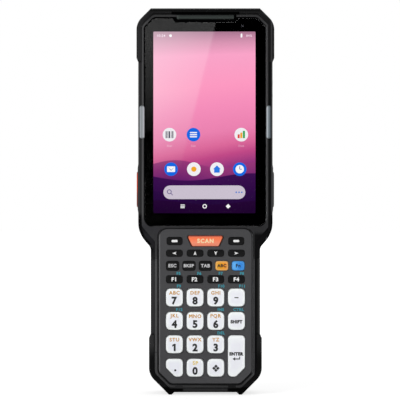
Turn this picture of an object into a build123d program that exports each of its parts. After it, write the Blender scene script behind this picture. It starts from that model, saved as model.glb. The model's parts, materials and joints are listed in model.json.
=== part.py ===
from build123d import *
from math import cos, hypot, pi, radians, sqrt, tan
import os

# Portable barcode data terminal, standing upright on the feet of its lower bumper.
# Millimetres. The screen and the keys face -Y, +X is the keypad's right, +Z runs up the
# length. The origin is the middle of the footprint, on the plane of the feet.

# ---- Overall form ----
overall_height = 220.3
overall_depth = 32.0
head_half_width = 38.35
grip_half_width = 31.2
grip_length = 83.9  # from the feet up to where the grip's side line meets the shoulder
shoulder_rise = 8.2
shoulder_top_radius = 16.0
shoulder_bottom_radius = 4.3
corner_radius = 9.5
tightest_corner = 1.0
top_corner_cut = 8.2  # how far the chamfers of the top corners reach in
bottom_corner_cut = 11.35

# ---- Bumpers ----
bumper_proud = 0.95
bumper_wall = 2.2
bumper_lip = 2.9  # how far the bumper reaches in over the front and back faces
bumper_lip_thickness = 1.0
bumper_lip_edge = 0.4
bumper_front_chamfer = 0.9
bumper_back_round = 1.8
top_bumper_length = 30.6
bottom_bumper_high = 34.6
bumper_ramp = 2.3
brow_half_width = 19.5  # the sunk brow in the bumper above the earpiece
brow_height = 1.7
brow_depth = 0.6
foot_width = 1.6
foot_height = 1.4
strap_thickness = 1.2  # the bumper's strap under the grip's end, between the feet
strap_lip = 2.1

# ---- Case halves ----
housing_depth = 27.0
front_depth = 14.0  # from the front face back to the joint between the halves
wall = 2.0
front_wall = 3.4
front_slope_width = 1.8  # the slope all round the front face: its width across the face
front_slope_fall = 1.4  # and how far it falls back
housing_back_round = 3.0
grip_side_wall = 3.6
reveal_width = 0.4  # the fine groove that shows at the joint between the halves
reveal_depth = 0.35
joint_gap = 0.05

# ---- Touch window and screen ----
window_side_margin = 3.85
window_low_margin = 4.1
window_top_margin = 5.6
window_thickness = 1.2
window_recess = 0.3
window_gap = 0.15
window_corner_cut = 5.2  # the cut across each upper corner of the window
window_corner = 2.5
window_low_corner = 5.0
window_groove_depth = 1.0  # the open groove round the glass, inside the rim
window_edge = 0.2
window_notch_half = 17.5  # the notch in the glass that opens the earpiece slot
window_notch_depth = 2.3
screen_side_border = 5.25
screen_low_border = 7.4
screen_top_border = 7.4
display_border = 1.2
display_thickness = 2.5
display_gap = 0.1
display_corner = 1.0

# ---- Raised rims round the window and the keypad ----
rim_width = 1.3
rim_height = 0.3
rim_edge = 0.15
window_rim_offset = 0.7
panel_rim_offset = 0.9
rim_clearance = 0.1
web_rise = 3.4  # from the top of the grip's side up to the low point of the shoulder's raised flat
web_reach = 6.0  # how far that flat runs up beside the window
web_corner = 5.0
rim_seam_width = 0.3
rim_seam_height = 24.2
rim_notch_inner = 12.9  # the two breaks in the rim below the keypad
rim_notch_outer = 17.3

# ---- Receiver bar and front camera ----
receiver_half_width = 16.3
receiver_height = 2.3
receiver_overlap = 0.5  # how far the bar reaches down over the window's notch
receiver_depth = 1.4
receiver_proud = 0.2
receiver_corner = 0.6
receiver_edge = 0.15
front_camera_inset = 8.05
front_camera_drop = 4.4
front_camera_radius = 1.7
front_camera_length = 3.6

# ---- Light guides beside the window ----
guide_length = 18.7
guide_window_gap = 0.3
guide_side_margin = 0.75
guide_depth = 2.0
guide_proud = 0.4
guide_edge = 0.2
guide_corner = 1.2

# ---- Keypad panel ----
panel_side_margin = 4.6
panel_low = 6.1
panel_window_gap = 1.5
panel_corner_inset = 7.0  # from the feet's corner line in to the panel's own
panel_top_corner = 5.0
panel_low_corner = 4.0
panel_thickness = 1.6
panel_recess = 0.5
panel_gap = 0.25
panel_groove = 0.6  # the wider gap in front, which shows as a dark line
panel_groove_depth = 1.3
panel_ledge = 1.2
panel_foot_ledge = 3.1
panel_edge = 0.3

# ---- Keys ----
key_columns = 4
number_rows = 4
key_travel = 0.8
key_hole_gap = 0.2
key_flange = 0.5
key_flange_thickness = 0.8
key_flange_gap = 0.1
key_edge_round = 0.45
key_side_margin = 4.1
key_column_gap = 2.2
key_row_gap = 3.25
number_key_corner = 2.2
number_key_proud = 1.2
number_row_rise = 9.2  # from the panel's foot up to the lowest row
number_row_drop = 10.4
key_cut_foot = 4.4  # what the cut corner leaves of the shorter side of a number key
dark_key_proud = 0.6
dark_key_corner = 1.3
dark_key_gap = 2.6
function_key_height = 4.3
function_row_drop = 7.7
mode_key_height = 5.3
mode_key_gap = 2.15
mode_side_margin = 4.3
mode_row_drop = 7.2
arrow_key_height = 3.7
arrow_row_drop = 6.95
soft_key_width = 8.8
soft_key_height = 4.3
soft_side_margin = 4.6
scan_key_gap = 2.4
scan_key_taper = 5.6
scan_key_height = 6.0
scan_key_corner = 0.9
scan_row_drop = 7.1

# ---- Behind the keys ----
mat_gap = 0.1
mat_thickness = 0.8
mat_side_inset = 2.0
mat_low_inset = 3.3
mat_high_inset = 2.1
mat_corner = 3.0
key_board_thickness = 1.0

# ---- Side triggers ----
trigger_rise = 14.6  # from the top of the shoulder
trigger_length = 20.6
trigger_width = 7.0
trigger_proud = 0.65
trigger_travel = 1.2
trigger_gap = 0.15
trigger_flange = 1.0
trigger_flange_thickness = 1.2
trigger_flange_gap = 0.1
trigger_edge_round = 0.8
side_key_depth = 8.5  # from the front face to the middle line of the side keys
side_swell = 0.35  # how far the sides swell round the triggers
swell_below = 3.1
swell_above = 4.2
swell_ramp = 2.2

# ---- Volume rocker ----
rocker_drop = 45.65
rocker_length = 14.1
rocker_width = 4.4
rocker_sunk = 0.05
rocker_gap = 0.35
rocker_flange = 0.9
rocker_flange_thickness = 1.2
rocker_flange_gap = 0.55
pip_spacing = 7.5
pip_radius = 1.3
pip_proud = 0.3

# ---- Barcode reader in the top end ----
engine_half_width = 13.0
engine_length = 17.5
engine_depth = 13.5
engine_top_gap = 1.1
engine_corner = 1.0
engine_lens_radius = 3.4
scan_window_overhang = 2.9
scan_window_front = 16.2  # from the front face back to the window's nearest edge
scan_window_width = 8.8
scan_window_thickness = 1.1
scan_window_corner = 2.0
scan_window_gap = 0.15
scan_ledge = 1.4
scan_opening_side = 1.7
scan_opening_margin = 1.0

# ---- Middle frame and main board ----
frame_thickness = 1.5
frame_trigger_gap = 1.8
frame_side_gap = 2.1
frame_low_gap = 4.7
frame_high_gap = 10.1
frame_corner = 2.0
standoff_height = 1.5
standoff_radius = 2.0
standoff_side_inset = 4.6
standoff_low_inset = 5.0
standoff_high_inset = 13.0
board_thickness = 1.2
board_side_inset = 1.2
board_rise = 6.9  # from the top of the shoulder
board_top_inset = 1.0
board_corner = 2.0
shield_height = 2.2
shield_middle_gap = 4.0
shield_side_inset = 3.6
shield_low_inset = 3.0
shield_row_gap = 16.0
shield_engine_gap = 15.5
shield_corner = 1.0

# ---- Screws and their bosses ----
boss_radius = 2.4
screw_side_inset = 4.45
low_screw_rise = 8.4  # from the top of the shoulder
middle_screw_rise = 8.5  # from the top of the triggers' swell
high_screw_drop = 16.3
end_screw_inset = 3.8
end_screw_rise = 2.3
screw_radius = 0.9
screw_bite = 1.6  # how far the thread stops short of the front wall
screw_head_radius = 1.8
screw_head_height = 1.2
screw_seat_depth = 10.0  # how deep the heads sit under the back face
screw_clearance = 0.1

# ---- Back of the head ----
camera_engine_gap = 1.4
camera_drop = 22.3
camera_radius = 4.4
camera_proud = 0.5
camera_gap = 0.1
camera_flange = 1.2
camera_flange_thickness = 1.5
camera_barrel = 6.0
camera_edge = 0.3
speaker_rise = 7.0  # from the thick wall behind the lock
speaker_half_width = 10.0
speaker_height = 14.0
speaker_depth = 4.5
speaker_corner = 2.0
grille_slots = 5
grille_pitch = 2.4
grille_slot_width = 1.1
grille_slot_half = 8.0
grille_slot_round = 0.5

# ---- Battery pack and its bay ----
bay_depth = 10.0
bay_floor = 1.5
bay_end_wall = 5.2
battery_side_wall = 4.2
battery_low_gap = 5.8
battery_shoulder_gap = 0.3
battery_gap = 0.2
battery_floor_gap = 0.15
battery_corner = 4.0
battery_wall = 1.4
battery_edge_round = 2.4
cell_gap = 0.3

# ---- Battery lock ----
lock_rise = 5.6  # from the pack's top end
lock_half_width = 7.6
lock_height = 8.0
lock_depth = 2.8
lock_proud = 0.5
lock_travel = 2.2
lock_gap = 0.15
lock_ribs = 4
lock_rib_pitch = 1.6
lock_rib_width = 0.7
lock_rib_height = 0.4
tongue_half_width = 4.8
tongue_thickness = 1.8
tongue_gap = 0.15
lock_block_rise = 4.6  # the wall is thick behind the lock, up to this far above it
lock_block_depth = 4.8

# ---- Grip rails ----
rail_shoulder_gap = 6.1
rail_front_width = 2.3
rail_front_depth = 2.0
rail_thickness = 1.6
rail_side_depth = 12.0
rail_end_gap = 0.2

# ---- Gasket ----
seal_inset = 0.5  # from the cavity's edge to the gasket groove
seal_width = 1.0
seal_thickness = 0.8
seal_gap = 0.05

# ---- Charging pads ----
pad_count = 6
pad_pitch = 2.8
pad_radius = 1.0
pad_gap = 0.05
pad_proud = 0.2
pad_depth = 19.0  # from the front face back to the row of pads
pad_window_margin = 1.6

# ---- Depth levels, from the front ----
front_y = -overall_depth / 2
back_y = overall_depth / 2
housing_front = front_y + bumper_lip_thickness
housing_back = housing_front + housing_depth
split = housing_front + front_depth
window_front = housing_front + window_recess
window_back = window_front + window_thickness
display_back = window_back + display_thickness
front_wall_back = housing_front + front_wall
back_wall_front = housing_back - wall
panel_front = housing_front + panel_recess
panel_back = panel_front + panel_thickness
flange_front = panel_back + key_flange_gap
flange_back = flange_front + key_flange_thickness
mat_front = flange_back + key_travel + mat_gap
mat_back = mat_front + mat_thickness
key_board_back = mat_back + key_board_thickness
frame_front = key_board_back
frame_back = frame_front + frame_thickness
board_front = frame_back + standoff_height
board_back = board_front + board_thickness
bay_bottom = housing_back - bay_depth
side_key_y = housing_front + side_key_depth
screw_seat = housing_back - screw_seat_depth

# ---- Levels along the length ----
shoulder_top = grip_length + shoulder_rise
top_bumper_low = overall_height - top_bumper_length
shell_low = foot_height + strap_thickness
shell_high = overall_height - bumper_wall
cavity_low = shell_low + wall
cavity_high = shell_high - wall
window_low = shoulder_top + window_low_margin
window_high = overall_height - window_top_margin
screen_low = window_low + screen_low_border
screen_high = window_high - screen_top_border
receiver_low = window_high - receiver_overlap
front_camera_z = window_high - front_camera_drop
guide_middle = (window_low + window_high) / 2
trigger_low = shoulder_top + trigger_rise
trigger_high = trigger_low + trigger_length
swell_low = trigger_low - swell_below
swell_high = trigger_high + swell_above
rocker_middle = overall_height - rocker_drop
rail_high = grip_length - rail_shoulder_gap
panel_high = window_low - panel_window_gap
scan_row = panel_high - scan_row_drop
arrow_row = scan_row - arrow_row_drop
mode_row = arrow_row - mode_row_drop
function_row = mode_row - function_row_drop
number_row_low = panel_low + number_row_rise
number_row_pitch = (function_row - number_row_drop - number_row_low) / (number_rows - 1)
mat_low = panel_low + mat_low_inset
mat_high = panel_high - mat_high_inset
frame_low = cavity_low + frame_low_gap
frame_high = cavity_high - frame_high_gap
board_low = shoulder_top + board_rise
board_high = frame_high - board_top_inset
engine_high = cavity_high - engine_top_gap
engine_low = engine_high - engine_length
shield_room = engine_low - shield_engine_gap - board_low - shield_low_inset
shield_length = (shield_room - shield_row_gap) / 2
end_screw_z = cavity_low + end_screw_rise
camera_z = overall_height - camera_drop
battery_low = cavity_low + battery_low_gap
battery_high = shoulder_top - battery_shoulder_gap
head_low = battery_high + bay_end_wall  # the head's deep cavity starts here
lock_low = battery_high + lock_rise
lock_block_top = lock_low + lock_height + lock_block_rise
speaker_low = lock_block_top + speaker_rise
FAR = 2 * overall_height  # reaches past everything

# ---- Levels across the width, from the middle ----
top_flat_half = head_half_width + bumper_proud - top_corner_cut
foot_outer_half = grip_half_width + bumper_proud - bottom_corner_cut
cavity_head_half = head_half_width + bumper_proud - bumper_wall - wall
grip_cavity_half = grip_half_width - grip_side_wall
window_half_width = head_half_width - window_side_margin
screen_half_width = window_half_width - screen_side_border
front_camera_x = screen_half_width - front_camera_inset
guide_inner = window_half_width + guide_window_gap
guide_outer = head_half_width - guide_side_margin
panel_half_width = grip_half_width - panel_side_margin
panel_corner_line = foot_outer_half - panel_corner_inset  # x minus z along the low corners
number_key_room = 2 * (panel_half_width - key_side_margin) + key_column_gap
column_pitch = number_key_room / key_columns
columns = [(place - (key_columns - 1) / 2) * column_pitch for place in range(key_columns)]
number_key_width = column_pitch - key_column_gap
number_key_height = number_row_pitch - key_row_gap
key_corner_cut = min(number_key_width, number_key_height) - key_cut_foot
dark_key_width = column_pitch - dark_key_gap
mode_keys = ("escape", "backspace", "tab", "alpha", "function")
mode_key_pitch = (2 * (panel_half_width - mode_side_margin) + mode_key_gap) / len(mode_keys)
mode_key_width = mode_key_pitch - mode_key_gap
soft_key_x = panel_half_width - soft_side_margin - soft_key_width / 2
scan_key_top_width = 2 * (soft_key_x - soft_key_width / 2 - scan_key_gap)
scan_key_low_width = scan_key_top_width - scan_key_taper
mat_half_width = panel_half_width - mat_side_inset
trigger_flange_inner = cavity_head_half - trigger_flange_gap - trigger_flange_thickness
frame_head_half = trigger_flange_inner - trigger_travel - frame_trigger_gap
frame_grip_half = grip_cavity_half - frame_side_gap
board_half_width = frame_head_half - board_side_inset
standoff_x = board_half_width - standoff_side_inset
shield_width = board_half_width - shield_side_inset - shield_middle_gap / 2
shield_x = (shield_middle_gap + shield_width) / 2
screw_x = head_half_width - screw_side_inset
end_screw_x = foot_outer_half - end_screw_inset
camera_x = -engine_half_width - camera_engine_gap - camera_radius - camera_flange
scan_window_half = engine_half_width + scan_window_overhang
scan_opening_half = scan_window_half + scan_opening_side
battery_half_width = grip_half_width - battery_side_wall

# ---- Rows of screws, standoffs and shield cans ----
screw_rows = (
    shoulder_top + low_screw_rise,
    swell_high + middle_screw_rise,
    overall_height - high_screw_drop,
)
low_standoff = board_low + standoff_low_inset
high_standoff = board_high - standoff_high_inset
standoff_rows = (low_standoff, (low_standoff + high_standoff) / 2, high_standoff)
low_shield = board_low + shield_low_inset + shield_length / 2
shield_rows = (low_shield, low_shield + shield_length + shield_row_gap)


# ---- Helpers ----
def rounded_face(corners):
    """Face in the X-Z plane from its corners, each given as (x, z, radius)."""
    points = [Vector(x, 0, z) for x, z, radius in corners]
    arrive, middle, leave = [], [], []
    for place, (x, z, radius) in enumerate(corners):
        here = points[place]
        back = (points[place - 1] - here).normalized()
        ahead = (points[(place + 1) % len(points)] - here).normalized()
        half_turn = (pi - radians(back.get_angle(ahead))) / 2
        bisector = (back + ahead).normalized()
        arrive.append(here + back * (radius * tan(half_turn)))
        leave.append(here + ahead * (radius * tan(half_turn)))
        middle.append(here + bisector * (radius / cos(half_turn) - radius))
    edges = []
    for place, (x, z, radius) in enumerate(corners):
        if (arrive[place] - leave[place - 1]).length > 1e-6:
            edges.append(Edge.make_line(leave[place - 1], arrive[place]))
        if radius > 0:
            edges.append(Edge.make_three_point_arc(arrive[place], middle[place], leave[place]))
    return Face(Wire(edges))


def mirrored(half):
    """Whole outline from its right-hand corners, which run upwards."""
    return half + [(-x, z, radius) for x, z, radius in reversed(half)]


def plate_corners(x, z, half_width, half_height, radius):
    """Corners of a rounded rectangle centred on (x, z)."""
    return [
        (x - half_width, z - half_height, radius),
        (x + half_width, z - half_height, radius),
        (x + half_width, z + half_height, radius),
        (x - half_width, z + half_height, radius),
    ]


def slab(corners, low_y, high_y):
    """Prism of an X-Z outline from one depth to another."""
    face = Pos(0, low_y, 0) * rounded_face(corners)
    return extrude(face, amount=high_y - low_y, dir=(0, 1, 0))


def block(low, high):
    """Box between two opposite corners."""
    size = [b - a for a, b in zip(low, high)]
    middle = [(a + b) / 2 for a, b in zip(low, high)]
    return Pos(*middle) * Box(*size)


def rod_y(x, z, radius, low_y, high_y):
    """Cylinder along the depth."""
    turned = Rot(90, 0, 0) * Cylinder(radius, high_y - low_y)
    return Pos(x, (low_y + high_y) / 2, z) * turned


def front_face(shape):
    """The face nearest the front."""
    return shape.faces().sort_by(Axis.Y)[0]


def front_edges(shape):
    """Edges of the face nearest the front."""
    return shape.edges().group_by(Axis.Y)[0]


def back_edges(shape):
    """Edges of the face nearest the back."""
    return shape.edges().group_by(Axis.Y)[-1]


def both_sides(shape):
    """The shape and its mirror image on the other side of the middle plane."""
    return [shape, mirror(shape, Plane.YZ)]


# ---- Outlines shared by the case, the bumpers and the cavity ----
def top_corners(inset, low):
    """Right-hand corners of the chamfered top end, drawn in by inset."""
    half = head_half_width + bumper_proud - inset
    top = overall_height - inset
    line = top_flat_half + overall_height - inset * sqrt(2)
    round_radius = max(corner_radius - inset, tightest_corner)
    return [(half, low, 0), (half, line - half, round_radius), (line - top, top, 0)]


def bottom_corners(inset, floor, high):
    """Right-hand corners of the chamfered bottom end, drawn in by inset, flat at floor."""
    half = grip_half_width + bumper_proud - inset
    line = foot_outer_half - inset * sqrt(2)
    round_radius = max(corner_radius - inset, tightest_corner)
    return [(line + floor, floor, 0), (half, half - line, round_radius), (half, high, 0)]


def case_blank():
    """The whole case as one solid, drawn in where the bumpers wrap it."""
    sides = mirrored(
        [
            (grip_half_width, -wall, 0),
            (grip_half_width, grip_length, shoulder_bottom_radius),
            (head_half_width, shoulder_top, shoulder_top_radius),
            (head_half_width, overall_height + wall, 0),
        ]
    )
    body = slab(sides, housing_front, housing_back)
    face = front_face(body)
    body = chamfer(face.edges(), front_slope_width, front_slope_fall, reference=face)
    body = fillet(back_edges(body), housing_back_round)
    swell = mirrored(
        [
            (head_half_width, swell_low, 0),
            (head_half_width + side_swell, swell_low + swell_ramp, 0),
            (head_half_width + side_swell, swell_high - swell_ramp, 0),
            (head_half_width, swell_high, 0),
        ]
    )
    swell_front = housing_front + front_slope_fall + side_swell
    body = body + slab(swell, swell_front, split)
    waist = head_half_width + side_swell
    ends = mirrored(
        bottom_corners(bumper_wall, shell_low, bottom_bumper_high)
        + [(waist, bottom_bumper_high, 0), (waist, top_bumper_low, 0)]
        + top_corners(bumper_wall, top_bumper_low)
    )
    return body & slab(ends, housing_front, housing_back)


def cavity_corners(inset):
    """Outline of the hollow inside the case, drawn in by inset."""
    grip = grip_cavity_half - inset
    head = cavity_head_half - inset
    low_end = bottom_corners(bumper_wall + wall + inset, cavity_low + inset, 0)
    line = foot_outer_half - (bumper_wall + wall + inset) * sqrt(2)
    top_end = top_corners(bumper_wall + wall + inset, 0)
    return mirrored(
        [
            low_end[0],
            (grip, grip - line, corner_radius - bumper_wall - wall),
            (grip, grip_length + wall + inset / 2, shoulder_bottom_radius),
            (head, shoulder_top + wall + inset / 2, corner_radius),
            top_end[1],
            top_end[2],
        ]
    )


def window_side(grow):
    """Right-hand corners of the touch window, whose upper corner is cut, grown by grow."""
    half = window_half_width + grow
    high = window_high + grow
    cut = window_corner_cut + grow * (2 - sqrt(2))
    return [
        (half, window_low - grow, window_low_corner + grow),
        (half, high - cut, window_corner + grow),
        (half - cut, high, window_corner + grow),
    ]


def window_corners(grow):
    """Outline of the touch window, with its earpiece notch, grown by grow."""
    notch = window_notch_half - grow
    floor = window_high - window_notch_depth + grow
    mouth = (notch + window_notch_depth / 2, window_high + grow, 0)
    return mirrored(window_side(grow) + [mouth, (notch, floor, 0)])


def window_seat_corners(grow):
    """The same outline without the notch, for the seat and the rim round it."""
    return mirrored(window_side(grow))


def panel_corners(grow, low_grow):
    """Outline of the keypad panel grown by grow, and by low_grow at its foot."""
    half = panel_half_width + grow
    low = panel_low - low_grow
    line = panel_corner_line + grow * sqrt(2)
    return mirrored(
        [
            (line + low, low, panel_low_corner),
            (half, half - line, panel_low_corner),
            (half, panel_high + grow, panel_top_corner + grow),
        ]
    )


def display_corners(grow):
    """Outline of the display module grown by grow."""
    middle = (screen_low + screen_high) / 2
    half_width = screen_half_width + display_border + grow
    half_height = (screen_high - screen_low) / 2 + display_border + grow
    return plate_corners(0, middle, half_width, half_height, display_corner)


def scan_window_slot(grow, low_z, high_z):
    """Rounded upright slot at the reader's window, grown by grow."""
    low_y = housing_front + scan_window_front - grow
    high_y = housing_front + scan_window_front + scan_window_width + grow
    half = scan_window_half + grow
    slot = block((-half, low_y, low_z), (half, high_y, high_z))
    return fillet(slot.edges().filter_by(Axis.Z), scan_window_corner)


# ---- Key shapes ----
def box_key(width, height, corner):
    """Outline maker for a rounded rectangular key."""

    def corners(x, z, grow):
        return plate_corners(x, z, width / 2 + grow, height / 2 + grow, corner + grow)

    return corners


def cut_key(width, height, corner, cut, side):
    """Outline maker for a key whose lower corner on one side is cut at 45 degrees."""

    def corners(x, z, grow):
        half_width = width / 2 + grow
        half_height = height / 2 + grow
        shorter = cut + grow * (2 - sqrt(2))
        return [
            (x - side * half_width, z - half_height, corner + grow),
            (x + side * (half_width - shorter), z - half_height, corner + grow),
            (x + side * half_width, z - half_height + shorter, corner + grow),
            (x + side * half_width, z + half_height, corner + grow),
            (x - side * half_width, z + half_height, corner + grow),
        ]

    return corners


def scan_key(x, z, grow):
    """Outline of the scan key, a trapezoid with its long side up, grown by grow."""
    lean = (scan_key_top_width - scan_key_low_width) / 2 / scan_key_height
    shift = grow * hypot(1, lean)
    half_height = scan_key_height / 2 + grow
    low_half = scan_key_low_width / 2 + shift - lean * grow
    top_half = scan_key_top_width / 2 + shift + lean * grow
    return [
        (x - low_half, z - half_height, scan_key_corner + grow),
        (x + low_half, z - half_height, scan_key_corner + grow),
        (x + top_half, z + half_height, scan_key_corner + grow),
        (x - top_half, z + half_height, scan_key_corner + grow),
    ]


def key_places():
    """Every key as name: (outline maker, x, z, how far it stands out of the panel)."""
    places = {}
    soft = box_key(soft_key_width, soft_key_height, dark_key_corner)
    places["key_soft_left"] = (soft, -soft_key_x, scan_row, dark_key_proud)
    places["key_scan"] = (scan_key, 0, scan_row, dark_key_proud)
    places["key_soft_right"] = (soft, soft_key_x, scan_row, dark_key_proud)
    arrow = box_key(dark_key_width, arrow_key_height, dark_key_corner)
    for x, name in zip(columns, ("left", "up", "down", "right")):
        places["key_arrow_" + name] = (arrow, x, arrow_row, dark_key_proud)
    mode = box_key(mode_key_width, mode_key_height, dark_key_corner)
    for place, name in enumerate(mode_keys):
        x = (place - (len(mode_keys) - 1) / 2) * mode_key_pitch
        places["key_" + name] = (mode, x, mode_row, dark_key_proud)
    function = box_key(dark_key_width, function_key_height, dark_key_corner)
    for x, name in zip(columns, ("f1", "f2", "f3", "f4")):
        places["key_" + name] = (function, x, function_row, dark_key_proud)
    number = box_key(number_key_width, number_key_height, number_key_corner)
    rows = (
        ("point", "0", "symbol"),
        ("1", "2", "3"),
        ("4", "5", "6", "shift"),
        ("7", "8", "9", "minus"),
    )
    for row, names in enumerate(rows):
        z = number_row_low + row * number_row_pitch
        for x, name in zip(columns, names):
            places["key_" + name] = (number, x, z, number_key_proud)
    size = (number_key_width, number_key_height, number_key_corner)
    point = cut_key(*size, key_corner_cut, -1)
    places["key_point"] = (point, columns[0], number_row_low, number_key_proud)
    enter_height = number_key_height + number_row_pitch
    enter = cut_key(number_key_width, enter_height, number_key_corner, key_corner_cut, 1)
    enter_z = number_row_low + number_row_pitch / 2
    places["key_enter"] = (enter, columns[-1], enter_z, number_key_proud)
    return places


def key_solid(corners, x, z, proud):
    """A key: a cap that stands out of the panel, on a flange that holds it in."""
    cap = slab(corners(x, z, 0), panel_front - proud, flange_back)
    cap = fillet(front_edges(cap), key_edge_round)
    return cap + slab(corners(x, z, key_flange), flange_front, flange_back)


# ---- Case halves ----
def screw_places():
    """Where the case screws stand, as (x, z)."""
    places = [(side * screw_x, z) for z in screw_rows for side in (-1, 1)]
    return places + [(side * end_screw_x, end_screw_z) for side in (-1, 1)]


def rail_zone():
    """The right-hand rail's room: a strip on the side that turns in over the front."""
    low = bottom_bumper_high
    front_edge = grip_half_width - rail_front_width
    strip = block(
        (front_edge, housing_front - 1, low),
        (FAR, housing_front + rail_front_depth, rail_high),
    )
    side_edge = grip_half_width - rail_thickness
    side = block(
        (side_edge, housing_front - 1, low),
        (FAR, housing_front + rail_side_depth, rail_high),
    )
    return strip + side


def trigger_face(grow):
    """Stadium outline of a side trigger in the Y-Z plane, grown by grow."""
    middle = (trigger_low + trigger_high) / 2
    face = SlotOverall(trigger_length + 2 * grow, trigger_width + 2 * grow, rotation=90)
    return Plane((0, side_key_y, middle), x_dir=(0, 1, 0), z_dir=(1, 0, 0)) * face


def rocker_face(grow):
    """Stadium outline of the volume rocker in the Y-Z plane, grown by grow."""
    face = SlotOverall(rocker_length + 2 * grow, rocker_width + 2 * grow, rotation=90)
    return Plane((0, side_key_y, rocker_middle), x_dir=(0, 1, 0), z_dir=(1, 0, 0)) * face


def sideways(face, low_x, high_x):
    """Prism of a Y-Z outline from one side position to another."""
    return extrude(Pos(low_x, 0, 0) * face, amount=high_x - low_x, dir=(1, 0, 0))


def guide_corners(grow):
    """Outline of the right-hand light guide grown by grow."""
    return plate_corners(
        (guide_inner + guide_outer) / 2,
        guide_middle,
        (guide_outer - guide_inner) / 2 + grow,
        guide_length / 2 + grow,
        guide_corner + grow,
    )


def receiver_corners(grow):
    """Outline of the receiver bar grown by grow."""
    middle = receiver_low + receiver_height / 2
    half_height = receiver_height / 2 + grow
    return plate_corners(0, middle, receiver_half_width + grow, half_height, receiver_corner)


def bead(outline, offset):
    """Raised ring round an outline maker's shape, at an offset from it."""
    low_y = housing_front - rim_height
    ring = slab(outline(offset + rim_width), low_y, panel_back)
    ring = ring - slab(outline(offset), low_y, panel_back)
    return chamfer(front_edges(ring), rim_edge)


def shoulder_web():
    """The raised flat that joins the window's rim to the keypad's across each shoulder."""
    inner = panel_half_width + panel_rim_offset + rim_width
    outer = window_half_width + window_rim_offset + rim_width
    side = [
        (inner, grip_length + web_rise, 0),
        (outer, window_low, web_corner),
        (outer, window_low + web_reach, 0),
    ]
    web = slab(mirrored(side), housing_front - rim_height, panel_back)
    web = chamfer(front_edges(web), rim_edge)
    web = web - slab(panel_corners(panel_rim_offset, panel_rim_offset), -FAR, FAR)
    return web - slab(window_seat_corners(window_rim_offset), -FAR, FAR)


def window_rim():
    """The rim round the window, kept clear of the top bumper and of the keypad."""
    ring = bead(window_seat_corners, window_rim_offset) + shoulder_web()
    room = slab(mirrored(top_corners(bumper_lip + rim_clearance, 0)), -FAR, FAR)
    return (ring & room) - slab(panel_corners(panel_groove, panel_groove), -FAR, FAR)


def panel_rim():
    """The rim beside and below the keypad, with its seams and its two breaks."""
    ring = bead(lambda grow: panel_corners(grow, grow), panel_rim_offset)
    floor = foot_height + strap_lip + rim_clearance
    room = mirrored(bottom_corners(bumper_lip + rim_clearance, floor, panel_high - panel_top_corner))
    ring = ring & slab(room, -FAR, FAR)
    half_seam = rim_seam_width / 2
    for z in (rim_seam_height, rail_high):
        ring = ring - block((-FAR, -FAR, z - half_seam), (FAR, housing_front, z + half_seam))
    for gap in both_sides(
        block((rim_notch_inner, -FAR, -FAR), (rim_notch_outer, housing_front, panel_low))
    ):
        ring = ring - gap
    return ring


def front_housing(blank):
    """Front half: seats for the window, the screen, the keypad, the rails and side keys."""
    half = blank + window_rim() + panel_rim()
    half = half & block((-FAR, -FAR, -FAR), (FAR, split, FAR))
    half = half - slab(cavity_corners(0), front_wall_back, split)
    rim_front = housing_front - rim_height
    half = half - slab(window_seat_corners(window_gap), rim_front, window_back)
    groove_back = housing_front + window_groove_depth
    half = half - slab(window_seat_corners(window_rim_offset), rim_front, groove_back)
    half = half - slab(display_corners(display_gap), window_back, front_wall_back)
    half = half - slab(panel_corners(panel_gap, panel_gap), rim_front, panel_back)
    groove_floor = housing_front + panel_groove_depth
    half = half - slab(panel_corners(panel_groove, panel_groove), rim_front, groove_floor)
    keypad_opening = panel_corners(-panel_ledge, -panel_foot_ledge)
    half = half - slab(keypad_opening, panel_back, front_wall_back)
    receiver_back = housing_front + receiver_depth
    half = half - slab(receiver_corners(joint_gap), rim_front, receiver_back)
    camera_hole = front_camera_radius + camera_gap
    half = half - rod_y(
        front_camera_x, front_camera_z, camera_hole, window_back, front_wall_back
    )
    guide_back = housing_front + guide_depth
    for guide in both_sides(slab(guide_corners(joint_gap), rim_front, guide_back)):
        half = half - guide
    for rail in both_sides(rail_zone()):
        half = half - rail
    trigger_hole = sideways(trigger_face(trigger_gap), cavity_head_half - 1, FAR)
    for hole in both_sides(trigger_hole):
        half = half - hole
    half = half - sideways(rocker_face(rocker_gap), cavity_head_half - 1, FAR)
    half = half - reader_opening()
    for x, z in screw_places():
        boss = rod_y(x, z, boss_radius, front_wall_back, frame_front)
        half = half + (boss & blank)
    for x, z in screw_places():
        half = half - screw_room(x, z)
    return half


def reader_opening():
    """Room for the reader's window and its view, through the case's top wall."""
    seat = scan_window_slot(scan_window_gap, shell_high - scan_window_thickness, FAR)
    return seat + scan_window_slot(-scan_ledge, cavity_high - 1, FAR)


def screw_room(x, z):
    """The hole that a case screw needs, thread and counterbore."""
    shank = rod_y(x, z, screw_radius, front_wall_back + screw_bite, screw_seat)
    head = rod_y(x, z, screw_head_radius + screw_clearance, screw_seat, housing_back + 1)
    return shank + head


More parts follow.
